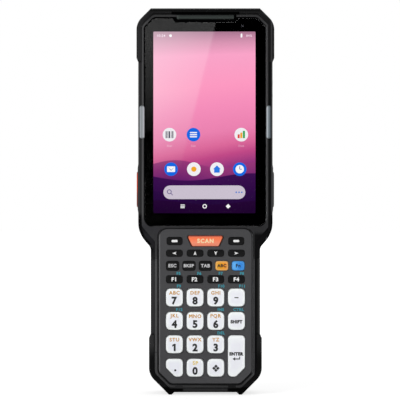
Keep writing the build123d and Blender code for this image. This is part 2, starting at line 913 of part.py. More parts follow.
def back_housing(blank):
    """Back half: battery bay, lock pocket, camera hole, speaker grille and screw bosses."""
    half_room = blank & block((-FAR, split, -FAR), (FAR, FAR, FAR))
    half = half_room
    hollow = slab(cavity_corners(0), split, back_wall_front)
    bay_wall = block((-FAR, bay_bottom - bay_floor, 0), (FAR, housing_back, head_low))
    lock_wall_front = back_wall_front - lock_block_depth + wall
    lock_wall = block((-FAR, lock_wall_front, head_low - 1), (FAR, housing_back, lock_block_top))
    half = half - (hollow - bay_wall - lock_wall)
    bosses_inside = slab(cavity_corners(joint_gap), frame_back, split) + half_room
    half = half - slab(bay_corners(battery_gap), bay_bottom, housing_back)
    half = half - lock_pocket()
    half = half - reader_opening()
    half = half - rod_y(
        camera_x, camera_z, camera_radius + camera_gap, back_wall_front, housing_back
    )
    slot_middle = speaker_low + speaker_height / 2
    for place in range(grille_slots):
        z = slot_middle + (place - (grille_slots - 1) / 2) * grille_pitch
        slot = plate_corners(0, z, grille_slot_half, grille_slot_width / 2, grille_slot_round)
        half = half - slab(slot, back_wall_front, housing_back)
    for x, z in screw_places():
        boss = rod_y(x, z, boss_radius, frame_back, back_wall_front)
        half = half + (boss & bosses_inside)
    for x, z in screw_places():
        half = half - screw_room(x, z)
    half = half - seal_ring(-seal_gap, split, split + seal_thickness + seal_gap)
    outline = slab(reveal_corners(0), split, split + reveal_width)
    core = slab(reveal_corners(reveal_depth), split, split + reveal_width)
    half = half - (outline - core)
    for place in range(pad_count):
        half = half - pad_rod(place, pad_radius + pad_gap, shell_low - 1, cavity_low + 1)
    return half


def reveal_corners(inset):
    """The case's side line between the bumpers, drawn in by inset."""
    return mirrored(
        [
            (grip_half_width - inset, bottom_bumper_high, 0),
            (grip_half_width - inset, grip_length + inset / 2, shoulder_bottom_radius),
            (head_half_width - inset, shoulder_top + inset / 2, shoulder_top_radius),
            (head_half_width - inset, top_bumper_low, 0),
        ]
    )


def bay_corners(grow):
    """Outline of the battery pack, grown by grow for its bay."""
    middle = (battery_low + battery_high) / 2
    half_height = (battery_high - battery_low) / 2 + grow
    return plate_corners(0, middle, battery_half_width + grow, half_height, battery_corner)


def seal_ring(gap, low_y, high_y):
    """Closed ring that follows the cavity's edge, widened by a negative gap."""
    outer = slab(cavity_corners(-seal_inset - seal_width + gap), low_y, high_y)
    inner = slab(cavity_corners(-seal_inset - gap), low_y, high_y)
    return outer - inner


def pad_rod(place, radius, low_z, high_z):
    """One charging pad's upright cylinder."""
    x = (place - (pad_count - 1) / 2) * pad_pitch
    y = housing_front + pad_depth
    return Pos(x, y, (low_z + high_z) / 2) * Cylinder(radius, high_z - low_z)


def dock_contacts():
    """The row of charging pads in the bottom end."""
    return [pad_rod(n, pad_radius, shell_low - pad_proud, cavity_low) for n in range(pad_count)]


def housing_seal():
    """The gasket between the case halves."""
    return seal_ring(0, split, split + seal_thickness)


def housing_screws():
    """The case screws: flat heads and plain shanks."""
    screws = []
    for x, z in screw_places():
        tip = front_wall_back + screw_bite + screw_clearance
        shank = rod_y(x, z, screw_radius - joint_gap, tip, screw_seat)
        head = rod_y(x, z, screw_head_radius, screw_seat, screw_seat + screw_head_height)
        drive = rod_y(x, z, screw_radius, screw_seat + screw_head_height / 2, screw_seat + wall)
        screws.append(shank + head - drive)
    return screws


# ---- Bumpers and rails ----
def lip_opening(outline):
    """The opening in a bumper's front and back, with its front edge broken."""
    opening = slab(outline, front_y + bumper_lip_edge, FAR)
    mouth = extrude(front_face(opening), amount=bumper_lip_edge, taper=-45)
    return opening + mouth


def top_bumper(blank):
    """Rubber wrap round the top end, open in front, behind and over the reader."""
    half = head_half_width
    skirt = [(half, top_bumper_low, 0)] + top_corners(0, top_bumper_low + bumper_ramp)
    wrap = slab(mirrored(skirt), front_y, housing_back + bumper_lip_thickness)
    wrap = chamfer(front_edges(wrap), bumper_front_chamfer)
    wrap = fillet(back_edges(wrap), bumper_back_round)
    wrap = wrap - lip_opening(mirrored(top_corners(bumper_lip, 0))) - blank
    brow_high = overall_height - bumper_lip + brow_height
    brow = block(
        (-brow_half_width, front_y, receiver_low), (brow_half_width, front_y + brow_depth, brow_high)
    )
    wrap = wrap - chamfer(back_edges(brow), bumper_lip_edge)
    window_y = housing_front + scan_window_front
    low_y = window_y - scan_opening_margin
    high_y = window_y + scan_window_width + scan_opening_margin
    view = block((-scan_opening_half, low_y, cavity_high), (scan_opening_half, high_y, FAR))
    return wrap - fillet(view.edges().filter_by(Axis.Z), scan_window_corner)


def bottom_bumper(blank):
    """Rubber wrap round the bottom end, with a foot on each side."""
    half = grip_half_width + bumper_proud
    foot_inner = foot_outer_half - foot_width
    skirt = [
        (foot_inner - foot_height, foot_height, 0),
        (foot_inner, 0, 0),
        (foot_outer_half, 0, 0),
        (half, half - foot_outer_half, corner_radius),
        (half, bottom_bumper_high - bumper_ramp, 0),
        (grip_half_width, bottom_bumper_high, 0),
    ]
    wrap = slab(mirrored(skirt), front_y, housing_back + bumper_lip_thickness)
    wrap = chamfer(front_edges(wrap), bumper_front_chamfer)
    wrap = fillet(back_edges(wrap), bumper_back_round)
    opening = mirrored(bottom_corners(bumper_lip, foot_height + strap_lip, FAR))
    wrap = wrap - lip_opening(opening) - blank
    half_row = (pad_count - 1) / 2 * pad_pitch + pad_radius + pad_window_margin
    middle_y = housing_front + pad_depth
    half_width = pad_radius + pad_window_margin
    return wrap - block(
        (-half_row, middle_y - half_width, -1), (half_row, middle_y + half_width, cavity_low)
    )


def grip_rail(blank):
    """The right-hand rail, flush with the case it is set into."""
    low = bottom_bumper_high + rail_end_gap
    high = rail_high - rail_end_gap
    trimmed = block((-FAR, -FAR, low), (FAR, FAR, high))
    return blank & rail_zone() & trimmed


# ---- Front pieces ----
def touch_window():
    """The glass, with a notch in its top edge for the earpiece."""
    glass = slab(window_corners(0), window_front, window_back)
    return chamfer(front_edges(glass), window_edge)


def display_module():
    """The flat screen that lies behind the glass."""
    return slab(display_corners(0), window_back, display_back)


def receiver_cover():
    """The bar over the earpiece."""
    low_y = housing_front - receiver_proud
    bar = slab(receiver_corners(0), low_y, housing_front + receiver_depth)
    return chamfer(front_edges(bar), receiver_edge) - slab(window_corners(joint_gap), -FAR, FAR)


def front_camera():
    """The small camera that looks out through the glass."""
    back = window_back + front_camera_length
    return rod_y(front_camera_x, front_camera_z, front_camera_radius, window_back, back)


def led_guides():
    """The two light bars beside the window."""
    low_y = housing_front - guide_proud
    guide = slab(guide_corners(0), low_y, housing_front + guide_depth)
    return both_sides(fillet(front_edges(guide), guide_edge))


def keypad_panel(keys):
    """The fascia, with one hole for each key."""
    panel = slab(panel_corners(0, 0), panel_front, panel_back)
    panel = chamfer(front_edges(panel), panel_edge)
    for corners, x, z, proud in keys.values():
        panel = panel - slab(corners(x, z, key_hole_gap), panel_front, panel_back)
    return panel


def trigger():
    """The right-hand trigger: a rounded bar on a flange behind the case wall."""
    outside = head_half_width + side_swell + trigger_proud
    flange_outer = cavity_head_half - trigger_flange_gap
    bar = sideways(trigger_face(0), trigger_flange_inner, outside)
    bar = fillet(bar.edges().group_by(Axis.X)[-1], trigger_edge_round)
    return bar + sideways(trigger_face(trigger_flange), trigger_flange_inner, flange_outer)


def volume_rocker():
    """The rocker: a flush bar with two pips, on a flange behind the case wall."""
    outside = head_half_width - rocker_sunk
    flange_outer = cavity_head_half - rocker_flange_gap
    flange_inner = flange_outer - rocker_flange_thickness
    bar = sideways(rocker_face(0), flange_inner, outside)
    bar = bar + sideways(rocker_face(rocker_flange), flange_inner, flange_outer)
    for end in (-1, 1):
        z = rocker_middle + end * pip_spacing / 2
        pip = Rot(0, 90, 0) * Cylinder(pip_radius, 2 * pip_proud)
        bar = bar + Pos(outside, side_key_y, z) * pip
    return bar


# ---- Inside ----
def mat_corners():
    """Outline that the mat and the switch board share."""
    middle = (mat_low + mat_high) / 2
    half_height = (mat_high - mat_low) / 2
    return plate_corners(0, middle, mat_half_width, half_height, mat_corner)


def keypad_mat():
    """The rubber mat under the keys."""
    return slab(mat_corners(), mat_front, mat_back)


def key_board():
    """The switch board under the mat."""
    return slab(mat_corners(), mat_back, key_board_back)


def middle_frame():
    """The metal frame: a plate with an ear round each screw and standoffs for the board."""
    head_foot = shoulder_top + wall
    plate = slab(
        mirrored(
            [
                (frame_grip_half, frame_low, frame_corner),
                (frame_grip_half, grip_length, frame_corner),
                (frame_head_half, head_foot, frame_corner),
                (frame_head_half, frame_high, frame_corner),
            ]
        ),
        frame_front,
        frame_back,
    )
    for x, z in screw_places():
        plate = plate + rod_y(x, z, boss_radius, frame_front, frame_back)
    for z in screw_rows:
        low = (-screw_x, frame_front, z - boss_radius)
        plate = plate + block(low, (screw_x, frame_back, z + boss_radius))
    for side in (-1, 1):
        low = (side * end_screw_x - boss_radius, frame_front, end_screw_z)
        high = (side * end_screw_x + boss_radius, frame_back, frame_low + wall)
        plate = plate + block(low, high)
    plate = plate & slab(cavity_corners(joint_gap), frame_front, frame_back)
    for x, z in screw_places():
        plate = plate - rod_y(x, z, screw_radius, frame_front, frame_back)
    for z in standoff_rows:
        for side in (-1, 1):
            post = rod_y(side * standoff_x, z, standoff_radius, frame_back, board_front)
            plate = plate + post
    return plate


def main_board():
    """The circuit board with two shield cans on each side of its middle."""
    middle = (board_low + board_high) / 2
    half_height = (board_high - board_low) / 2
    outline = plate_corners(0, middle, board_half_width, half_height, board_corner)
    board = slab(outline, board_front, board_back)
    for z in shield_rows:
        for side in (-1, 1):
            half_can = (shield_width / 2, shield_length / 2)
            can = plate_corners(side * shield_x, z, *half_can, shield_corner)
            board = board + slab(can, board_back, board_back + shield_height)
    return board


def scan_engine():
    """The barcode reader, on the board and looking up out of the top end."""
    middle = (engine_low + engine_high) / 2
    half_height = engine_length / 2
    outline = plate_corners(0, middle, engine_half_width, half_height, engine_corner)
    body = slab(outline, board_back, board_back + engine_depth)
    lens_y = board_back + engine_depth / 2
    for x in (-engine_half_width / 2, engine_half_width / 2):
        lens = Pos(x, lens_y, engine_high) * Cylinder(engine_lens_radius, 1)
        body = body - lens
    return body


def scan_window():
    """The reader's window, set into the case's top wall."""
    return scan_window_slot(0, shell_high - scan_window_thickness, shell_high)


def rear_camera():
    """The rear camera: a barrel with a flange behind the case wall and a proud ring."""
    outer = housing_back + camera_proud
    ring = rod_y(camera_x, camera_z, camera_radius, back_wall_front - camera_barrel, outer)
    ring = chamfer(back_edges(ring), camera_edge)
    lens = rod_y(camera_x, camera_z, camera_radius / 2, outer - 1, outer + 1)
    flange_front_y = back_wall_front - camera_flange_thickness
    flange = rod_y(
        camera_x, camera_z, camera_radius + camera_flange, flange_front_y, back_wall_front
    )
    return ring + flange - lens


def speaker():
    """The loudspeaker behind the grille."""
    middle = speaker_low + speaker_height / 2
    outline = plate_corners(0, middle, speaker_half_width, speaker_height / 2, speaker_corner)
    return slab(outline, back_wall_front - speaker_depth, back_wall_front)


# ---- Battery and lock ----
def tongue_front():
    """Depth of the lock tongue's front face."""
    return housing_back - lock_depth + tongue_gap


def battery_case():
    """The battery pack's shell, with the notch that the lock enters."""
    low_y = bay_bottom + battery_floor_gap
    case = slab(bay_corners(0), low_y, back_y)
    case = fillet(back_edges(case), battery_edge_round)
    case = case - slab(bay_corners(-battery_wall), low_y + battery_wall, back_y - battery_wall)
    half = tongue_half_width + tongue_gap
    low = (-half, tongue_front() - tongue_gap, battery_high - battery_wall)
    high = (half, tongue_front() + tongue_thickness + tongue_gap, battery_high + 1)
    lid_depth = lock_travel + tongue_gap + battery_wall
    bridge_low = (-half - battery_wall, low[1] - battery_wall, battery_high - lid_depth)
    bridge_high = (half + battery_wall, high[1] + battery_wall, battery_high)
    case = case + block(bridge_low, bridge_high)
    notch_low = (low[0], low[1], battery_high - lock_travel - tongue_gap)
    return case - block(notch_low, high)


def battery_cells():
    """The sealed cells inside the pack."""
    low_y = bay_bottom + battery_floor_gap + battery_wall + cell_gap
    inset = -battery_wall - cell_gap
    high_cut = battery_high - lock_travel - tongue_gap - battery_wall - cell_gap
    cells = slab(bay_corners(inset), low_y, back_y - battery_wall - cell_gap)
    return cells & block((-FAR, -FAR, -FAR), (FAR, FAR, high_cut))


def lock_pocket():
    """Room in the case for the lock, its travel and its tongue."""
    half = lock_half_width + lock_gap
    front = housing_back - lock_depth
    low_z = lock_low - lock_travel - lock_gap
    pocket = block((-half, front, low_z), (half, FAR, lock_low + lock_height + lock_gap))
    tongue_half = tongue_half_width + tongue_gap
    back = tongue_front() + tongue_thickness + tongue_gap
    return pocket + block((-tongue_half, front, battery_high - 1), (tongue_half, back, low_z + 1))


def battery_lock():
    """The sliding lock: a ribbed thumb plate with a tongue that points at the pack."""
    front = tongue_front()
    face = housing_back + lock_proud
    plate = block((-lock_half_width, front, lock_low), (lock_half_width, face, lock_low + lock_height))
    tip = battery_high + battery_gap + tongue_gap
    tongue = block(
        (-tongue_half_width, front, tip), (tongue_half_width, front + tongue_thickness, lock_low)
    )
    lock = plate + tongue
    middle = lock_low + lock_height / 2
    for place in range(lock_ribs):
        z = middle + (place - (lock_ribs - 1) / 2) * lock_rib_pitch
        low = (-tongue_half_width, face, z - lock_rib_width / 2)
        high = (tongue_half_width, face + lock_rib_height, z + lock_rib_width / 2)
        lock = lock + block(low, high)
    return lock


# ---- Assembly ----
def build_nodes():
    """Every piece by its node name."""
    blank = case_blank()
    keys = key_places()
    rails = both_sides(grip_rail(blank))
    triggers = both_sides(trigger())
    nodes = {
        "front_housing": front_housing(blank),
        "back_housing": back_housing(blank),
        "housing_seal": housing_seal(),
        "housing_screws": housing_screws(),
        "top_bumper": top_bumper(blank),
        "bottom_bumper": bottom_bumper(blank),
        "grip_rail_right": rails[0],
        "grip_rail_left": rails[1],
        "touch_window": touch_window(),
        "display_module": display_module(),
        "receiver_cover": receiver_cover(),
        "front_camera": front_camera(),
        "led_guides": led_guides(),
        "keypad_panel": keypad_panel(keys),
        "keypad_mat": keypad_mat(),
        "key_board": key_board(),
        "middle_frame": middle_frame(),
        "main_board": main_board(),
        "scan_engine": scan_engine(),
        "scan_window": scan_window(),
        "rear_camera": rear_camera(),
        "speaker": speaker(),
        "dock_contacts": dock_contacts(),
        "trigger_right": triggers[0],
        "trigger_left": triggers[1],
        "volume_rocker": volume_rocker(),
        "battery_case": battery_case(),
        "battery_cells": battery_cells(),
        "battery_lock": battery_lock(),
    }
    for name, (corners, x, z, proud) in keys.items():
        nodes[name] = key_solid(corners, x, z, proud)
    return nodes


os.makedirs("parts", exist_ok=True)
for name, shape in build_nodes().items():
    solids = Compound(children=shape) if isinstance(shape, list) else shape
    export_step(solids, "parts/" + name + ".step")
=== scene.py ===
# %% [markdown]
# # A keypad data terminal, dressed
# The CAD model holds every solid piece of the terminal at its real size. This lesson gives
# those pieces their finishes and adds what is too fine for CAD: crowned key caps with
# printed legends, the printed glass, the lit screen and the small lenses. All sizes are in
# metres, the screen and the keys face -Y, and Z runs up the length.

# %% Load the frame
import json
import math

import bmesh
import bpy
import numpy as np
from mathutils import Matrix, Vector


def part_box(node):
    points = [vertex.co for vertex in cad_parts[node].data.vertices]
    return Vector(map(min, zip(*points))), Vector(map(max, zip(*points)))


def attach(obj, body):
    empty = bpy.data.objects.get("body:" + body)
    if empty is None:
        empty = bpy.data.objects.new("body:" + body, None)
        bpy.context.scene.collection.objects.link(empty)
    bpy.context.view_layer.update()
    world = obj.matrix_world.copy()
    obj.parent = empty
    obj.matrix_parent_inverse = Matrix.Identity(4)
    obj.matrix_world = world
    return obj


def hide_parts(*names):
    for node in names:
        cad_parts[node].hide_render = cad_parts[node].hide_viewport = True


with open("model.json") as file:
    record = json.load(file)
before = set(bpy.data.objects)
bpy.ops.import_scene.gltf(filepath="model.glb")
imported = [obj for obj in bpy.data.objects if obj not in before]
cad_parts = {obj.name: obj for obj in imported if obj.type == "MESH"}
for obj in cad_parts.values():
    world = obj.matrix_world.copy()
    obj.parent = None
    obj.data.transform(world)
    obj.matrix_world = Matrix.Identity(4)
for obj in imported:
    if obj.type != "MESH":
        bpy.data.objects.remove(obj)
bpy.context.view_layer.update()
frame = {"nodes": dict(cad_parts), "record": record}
MM = 0.001
nodes = frame["nodes"]


def linked(name, data):
    """A new object in the scene."""
    made = bpy.data.objects.new(name, data)
    bpy.context.scene.collection.objects.link(made)
    return made


def face_of(node):
    """Middle and half size of a node's box, in X and Z."""
    low, high = (np.array([corner.x, corner.z]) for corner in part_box(node))
    return (low + high) / 2, (high - low) / 2


# %% [markdown]
# ## The studio
# A product like this is shot straight from the front with a long lens, so that its sides
# don't show. The floor and the world are white to the camera. Glass is lit by what it
# mirrors: a big dark card behind the camera keeps the screen's border black, and the card's
# pale corner draws one soft streak on it. The card is there for mirrored and refracted rays
# only, so it takes no light from the rest.

# %% The camera
view_centre_x = -3.08 * MM
view_centre_z = 111.0 * MM
view_width = 228.1 * MM  # what the picture's width takes in, at the front face
lens = 190.0
sensor = 36.0
front_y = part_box("front_housing")[0].y
camera_distance = view_width * lens / sensor

camera_data = bpy.data.cameras.new("camera")
camera_data.lens = lens
camera_data.sensor_width = sensor
camera_data.clip_end = 50
camera = linked("camera", camera_data)
camera.location = (view_centre_x, front_y - camera_distance, view_centre_z)
camera.rotation_euler = (math.pi / 2, 0, 0)
bpy.context.scene.camera = camera
bpy.context.scene.view_settings.view_transform = "Standard"
print("camera stands", round(camera_distance, 3), "m in front of the face")


# %% A material's tools
def linear(code):
    """Linear colour of a hex code: each channel is ((c + 0.055) / 1.055) to the power 2.4."""
    channels = [int(code[i : i + 2], 16) / 255 for i in (1, 3, 5)]
    return [c / 12.92 if c <= 0.04045 else ((c + 0.055) / 1.055) ** 2.4 for c in channels] + [1.0]


class Paint:
    """The tools of one node tree. Each adds a node and returns what that node puts out."""

    def __init__(self, tree, made=None):
        self.tree, self.made, self.spot, self.given = tree, made, None, None

    def give(self, node, inputs):
        """Sets or links inputs by name or number. A hex code stands for its linear colour."""
        for key, value in inputs.items():
            if isinstance(value, bpy.types.NodeSocket):
                self.tree.links.new(value, node.inputs[key])
            else:
                node.inputs[key].default_value = linear(value) if isinstance(value, str) else value

    def node(self, kind, inputs, **settings):
        """A shader node of one kind."""
        made = self.tree.nodes.new("ShaderNode" + kind)
        for key, value in settings.items():
            setattr(made, key, value)
        self.give(made, inputs)
        return made

    def math(self, operation, *values, clamp=False):
        """One sum."""
        settings = {"operation": operation, "use_clamp": clamp}
        return self.node("Math", dict(enumerate(values)), **settings).outputs[0]

    def line(self, value, slope, start):
        """value * slope + start."""
        return self.math("MULTIPLY_ADD", value, slope, start)

    def mix(self, factor, first, second):
        """The first colour at 0, the second at 1."""
        return self.node("Mix", {0: factor, 6: first, 7: second}, data_type="RGBA").outputs[2]

    def point(self):
        """Object coordinates, which are the frame's own metres here."""
        return self.node("TexCoord", {}).outputs["Object"]

    def at(self, axis):
        """X, Y or Z of the shaded point, or "side", how far X is from 0."""
        if self.spot is None:
            self.spot = self.node("SeparateXYZ", {0: self.point()}).outputs
        return self.math("ABSOLUTE", self.spot["X"]) if axis == "side" else self.spot[axis]

    def noise(self, scale, detail=2.0):
        """Noise of so many grains a metre."""
        inputs = {"Vector": self.point(), "Scale": scale, "Detail": detail}
        return self.node("TexNoise", inputs).outputs[0]

    def share(self, value, start, end, low=0.0, high=1.0):
        """Low before start, high past end, even between, along an axis or another value."""
        value = self.at(value) if isinstance(value, str) else value
        return self.node("MapRange", {0: value, 1: start, 2: end, 3: low, 4: high}).outputs[0]

    def past(self, value, start, end):
        """0 at start mm and 1 at end mm. Start may be the larger."""
        return self.share(value, start * MM, end * MM)

    def behind(self, plane, start, end):
        """0 at start mm and 1 at end mm behind a plane that faces -Y."""
        return self.share("Y", plane + start * MM, plane + end * MM)

    def chain(self, operation, first, *others):
        """Several values brought to one, two at a time."""
        for other in others:
            first = self.math(operation, first, other)
        return first

    def where(self, steps, *shares):
        """Product of shares and of steps such as "Z 83 85", 0 at 83 mm up Z and 1 at 85."""
        for step in steps.split(","):
            axis, start, end = step.split()
            shares += (self.past(axis, float(start), float(end)),)
        return self.chain("MULTIPLY", *shares)

    def over(self, colour, tone, steps, *shares):
        """The tone laid over a colour where the steps and shares are 1."""
        return self.mix(self.where(steps, *shares), colour, tone)

    def ramp(self, value, tones, unit=MM):
        """Colour that runs through tones such as "3 #282829, 6 #3c3c3d", places in the unit."""
        stops = [tone.split() for tone in tones.split(",")]
        places = [float(place) * unit for place, code in stops]
        first, last = places[0], places[-1]
        ramp = self.node("ValToRGB", {0: self.share(value, first, last)})
        made = ramp.color_ramp.elements
        while len(made) < len(stops):
            made.new(0.5)
        for element, place, (_, code) in zip(made, places, stops):
            element.position = (place - first) / (last - first)
            element.color = linear(code)
        return ramp.outputs[0]

    def coat(self, **sockets):
        """Sets or links the shader's inputs, with _ for a space, and returns the material."""
        named = {key.replace("_", " "): value for key, value in sockets.items()}
        self.give(self.tree.nodes["Principled BSDF"], named)
        return self.made

    def show(self, shader):
        """Puts another shader in the Principled one's place."""
        self.give(self.tree.nodes["Material Output"], {0: shader.outputs[0]})


def material(name):
    """The tools of a new material."""
    made = bpy.data.materials.new(name)
    made.use_nodes = True
    return Paint(made.node_tree, made)


print("tools ready")

# %% World and floor
world_fill = 0.62
floor_reach = 6.0
floor_near, floor_far = 0.3, 1.2  # the floor brightens between these distances
floor_glow = 0.7
white = (1, 1, 1, 1)


def seen_directly(paint):
    """1 for camera, mirror and glass rays, 0 for the rays that carry diffuse light."""
    path = paint.node("LightPath", {}).outputs
    kinds = ("Camera", "Glossy", "Transmission")
    return paint.chain("MAXIMUM", *(path[f"Is {kind} Ray"] for kind in kinds))


def flat_sheet(name, half, upright, finish):
    """A square sheet round the origin, lying or upright, for the studio."""
    mesh = bpy.data.meshes.new(name)
    corners = [(-half, -half), (half, -half), (half, half), (-half, half)]
    points = [(x, 0, z) if upright else (x, z, 0) for x, z in corners]
    mesh.from_pydata(points, [], [(0, 1, 2, 3)])
    mesh.materials.append(finish)
    made = linked(name, mesh)
    return made


world = bpy.data.worlds.new("studio")
bpy.context.scene.world = world
world.use_nodes = True
sky = Paint(world.node_tree)
strength = sky.line(seen_directly(sky), 1.0 - world_fill, world_fill)
sky.give(world.node_tree.nodes["Background"], {"Color": white, "Strength": strength})

floor = material("floor_white")
floor.coat(Base_Color=(0.8, 0.8, 0.8, 1), Roughness=0.9, Specular_IOR_Level=0.0)
away = floor.node("VectorMath", {0: floor.point()}, operation="LENGTH").outputs["Value"]
brighter = floor.share(away, floor_near, floor_far, floor_glow, 1.0)
glow = floor.node("Emission", {"Color": white, "Strength": brighter})
plain = floor.node("BsdfDiffuse", {"Color": (0.4, 0.4, 0.4, 1)})
both = floor.node("AddShader", {0: glow.outputs[0], 1: plain.outputs[0]})
skin = floor.tree.nodes["Principled BSDF"].outputs[0]
floor.show(floor.node("MixShader", {0: seen_directly(floor), 1: skin, 2: both.outputs[0]}))
flat_sheet("floor", floor_reach, False, floor.made)

# %% The mirror card and its streak
card_distance = 2.0 * camera_distance
card_half = 3.2
streak_x = 6.0 * MM  # where the streak's edge crosses the glass, at this height
streak_z = 212.5 * MM
streak_lean = 0.25  # how far the edge leans over for each metre down
streak_soft = 0.35 * MM
streak_fade_high = 205.0 * MM
streak_fade_low = 148.0 * MM
streak_level = 0.56

card_dark = material("card_dark")
stretch = 1 + card_distance / camera_distance  # from a place on the glass to one on the card
glass_x, glass_z = (card_dark.math("DIVIDE", card_dark.at(axis), stretch) for axis in "XZ")
edge = card_dark.line(glass_z, -streak_lean, glass_x)
edge_place = streak_x - view_centre_x - streak_lean * (streak_z - view_centre_z)
left_of_edge = card_dark.share(edge, edge_place + streak_soft, edge_place - streak_soft)
fade = card_dark.share(glass_z, streak_fade_low - view_centre_z, streak_fade_high - view_centre_z)
pale = card_dark.chain("MULTIPLY", left_of_edge, fade, streak_level)
card_dark.show(card_dark.node("Emission", {"Color": white, "Strength": pale}))

card = flat_sheet("mirror_card", card_half, True, card_dark.made)
card.location = (view_centre_x, front_y - card_distance, view_centre_z)
card.visible_camera = False
card.visible_diffuse = False
card.visible_shadow = False
print("card stands", round(card_distance, 2), "m in front of the face")

# %% The lamps
lamp_aim = (0, 0, 0.11)


def soft_lamp(name, place, size, power):
    """A square soft box that looks at the middle of the terminal."""
    lamp = bpy.data.lights.new(name, "AREA")
    lamp.size = size
    lamp.energy = power
    x, y, z = np.array(lamp_aim) - np.array(place)
    made = linked(name, lamp)
    made.location = place
    made.rotation_euler = (math.atan2(math.hypot(x, y), -z), 0, math.atan2(y, x) - math.pi / 2)


soft_lamp("key_lamp", (-0.9, -1.0, 1.1), 0.7, 9.0)
soft_lamp("fill_lamp", (1.1, -1.1, 0.5), 1.0, 3.5)
soft_lamp("back_lamp", (0.3, 1.2, 1.0), 0.8, 6.0)
print("three lamps")

# %% [markdown]
# ## Finishes that repeat
# Moulded plastic isn't smooth: the mould is eroded by sparks, which leaves grains a quarter
# of a millimetre wide. Rubber has a finer, softer skin. Both are one effect with other
# sizes, so it is a node group: two noises make the height, and a slow third one varies the
# tone, as real mouldings do.

# %% The grain group
finer_by = 2.7
fine_part = 0.4
slow_scale = 45.0


def grain_group():
    """Height = noise plus fine_part of a finer noise; Tone = slow noise between 0 and 1."""
    group = bpy.data.node_groups.new("moulded_grain", "ShaderNodeTree")
    sockets = (
        ("Grains per metre", "INPUT", "Float"),
        ("Depth", "INPUT", "Float"),
        ("Tone", "OUTPUT", "Float"),
        ("Speck", "OUTPUT", "Float"),
        ("Normal", "OUTPUT", "Vector"),
    )
    for name, way, kind in sockets:
        group.interface.new_socket(name, in_out=way, socket_type="NodeSocket" + kind)
    given = group.nodes.new("NodeGroupInput").outputs
    paint = Paint(group)
    coarse = paint.noise(given[0])
    fine = paint.noise(paint.math("MULTIPLY", given[0], finer_by), 1.0)
    height = paint.line(fine, fine_part, coarse)
    bump = paint.node("Bump", {"Height": height, "Distance": given[1], "Strength": 1.0})
    taken = {
        "Tone": paint.share(paint.noise(slow_scale, 3.0), 0.3, 0.7),
        "Speck": paint.share(coarse, 0.35, 0.65),
        "Normal": bump.outputs[0],
    }
    paint.give(group.nodes.new("NodeGroupOutput"), taken)
    return group


grain = grain_group()
print("group", grain.name, "has", len(grain.nodes), "nodes")

# %% Moulded finishes
micron = 1e-6
gloss_swing = 0.12


def place_grain(paint, per_metre, microns):
    """The grain group placed in a material, with its own values."""
    return paint.node("Group", {0: per_metre, 1: microns * micron}, node_tree=grain).outputs


def unevenness(paint, given, slow):
    """The slow noise's share and the fine noise's, together between 0 and 1."""
    fine = paint.math("MULTIPLY", given["Speck"], 1 - slow)
    return paint.line(given["Tone"], slow, fine)


def moulded(name, dark, light, per_metre, microns, rough, **others):
    """A moulded finish between two close colours, whose roughness follows the grain."""
    paint = material(name)
    given = place_grain(paint, per_metre, microns)
    colour = paint.mix(unevenness(paint, given, 0.55), dark, light)
    start = rough - gloss_swing / 2
    roughness = paint.line(given["Speck"], gloss_swing, start)
    paint.coat(Base_Color=colour, Roughness=roughness, Normal=given["Normal"])
    return paint.coat(**{"Specular_IOR_Level": 0.25, **others})


metal = {"Metallic": 1.0}
mouldings = {  # two tones, grains a metre, their depth in microns, roughness
    "seal_rubber": ("#1c1c1c", "#242424", 6000, 6, 0.7),
    "mat_rubber": ("#707070", "#808080", 3000, 6, 0.6),
    "board_green": ("#12502c", "#1a6038", 900, 6, 0.4),
    "speaker_plastic": ("#1c1c1d", "#262627", 9000, 15, 0.7),
    "trigger_black": ("#19191a", "#232324", 5000, 5, 0.45),
    "rocker_plastic": ("#1a1a1b", "#242425", 5000, 5, 0.45),
    "battery_plastic": ("#1f1f21", "#29292b", 3000, 18, 0.6),
    "lock_plastic": ("#c93a14", "#d84a20", 5000, 4, 0.4),
}
metals = {
    "frame_metal": ("#a6a6a6", "#b8b8b8", 1800, 6, 0.4),
    "engine_metal": ("#3c3c40", "#48484c", 2500, 4, 0.35),
    "screw_steel": ("#77777c", "#8e8e94", 6000, 3, 0.35),
    "contact_brass": ("#c9a04a", "#e0bd6c", 5000, 2, 0.25),
    "cell_foil": ("#b0b0b4", "#c4c4c8", 300, 20, 0.3),
}
finishes = {name: moulded(name, *row) for name, row in mouldings.items()}
finishes.update({name: moulded(name, *row, **metal) for name, row in metals.items()})
shiny = {"Specular_IOR_Level": 0.4}
finishes["camera_body"] = moulded("camera_body", "#060607", "#0b0b0c", 8000, 2, 0.22, **shiny)
print("moulded finishes:", len(finishes))

# %% [markdown]
# ## The case
# The front half is one moulding, and its colour holds painted light and shade: the flat face,
# the raised rims with a painted highlight, the flat web on each shoulder, and the slope round
# the edge, painted black as shade. Depth tells face, rim and slope apart, since a rim stands
# 0.3 mm proud and the slope falls back. Each of them then takes its painted light and shade
# from a ramp along the height, and from a second ramp for the right-hand side, which is
# painted darker as if turned away from the window light.
# Places are given in millimetres of the frame.


# %% Tools for painted mouldings
# The left and right tones differ by painted light and shade.
side_blend = 6  # mm each side of the middle, over which a left tone becomes a right one
# Painted shade: the recess over the receiver is black this far out from the middle.
brow_ends = "side 19.6 19.2"  # the dark recess over the receiver reaches this far out


def painted(name, per_metre, microns, rough, specular):
    """A moulded material whose colour is still to be given."""
    paint = material(name)
    paint.given = place_grain(paint, per_metre, microns)
    roughness = paint.line(paint.given["Speck"], 0.14, rough)
    paint.coat(Roughness=roughness, Normal=paint.given["Normal"], Specular_IOR_Level=specular)
    return paint


def coloured(paint, colour, amount=0.16):
    """The painted material with its colour, which is uneven by up to amount."""
    level = unevenness(paint, paint.given, 0.6)
    deep = paint.line(level, amount, 1.0 - amount / 2)
    scaled = paint.node("VectorMath", {0: colour, "Scale": deep}, operation="SCALE")
    return paint.coat(Base_Color=scaled.outputs[0])


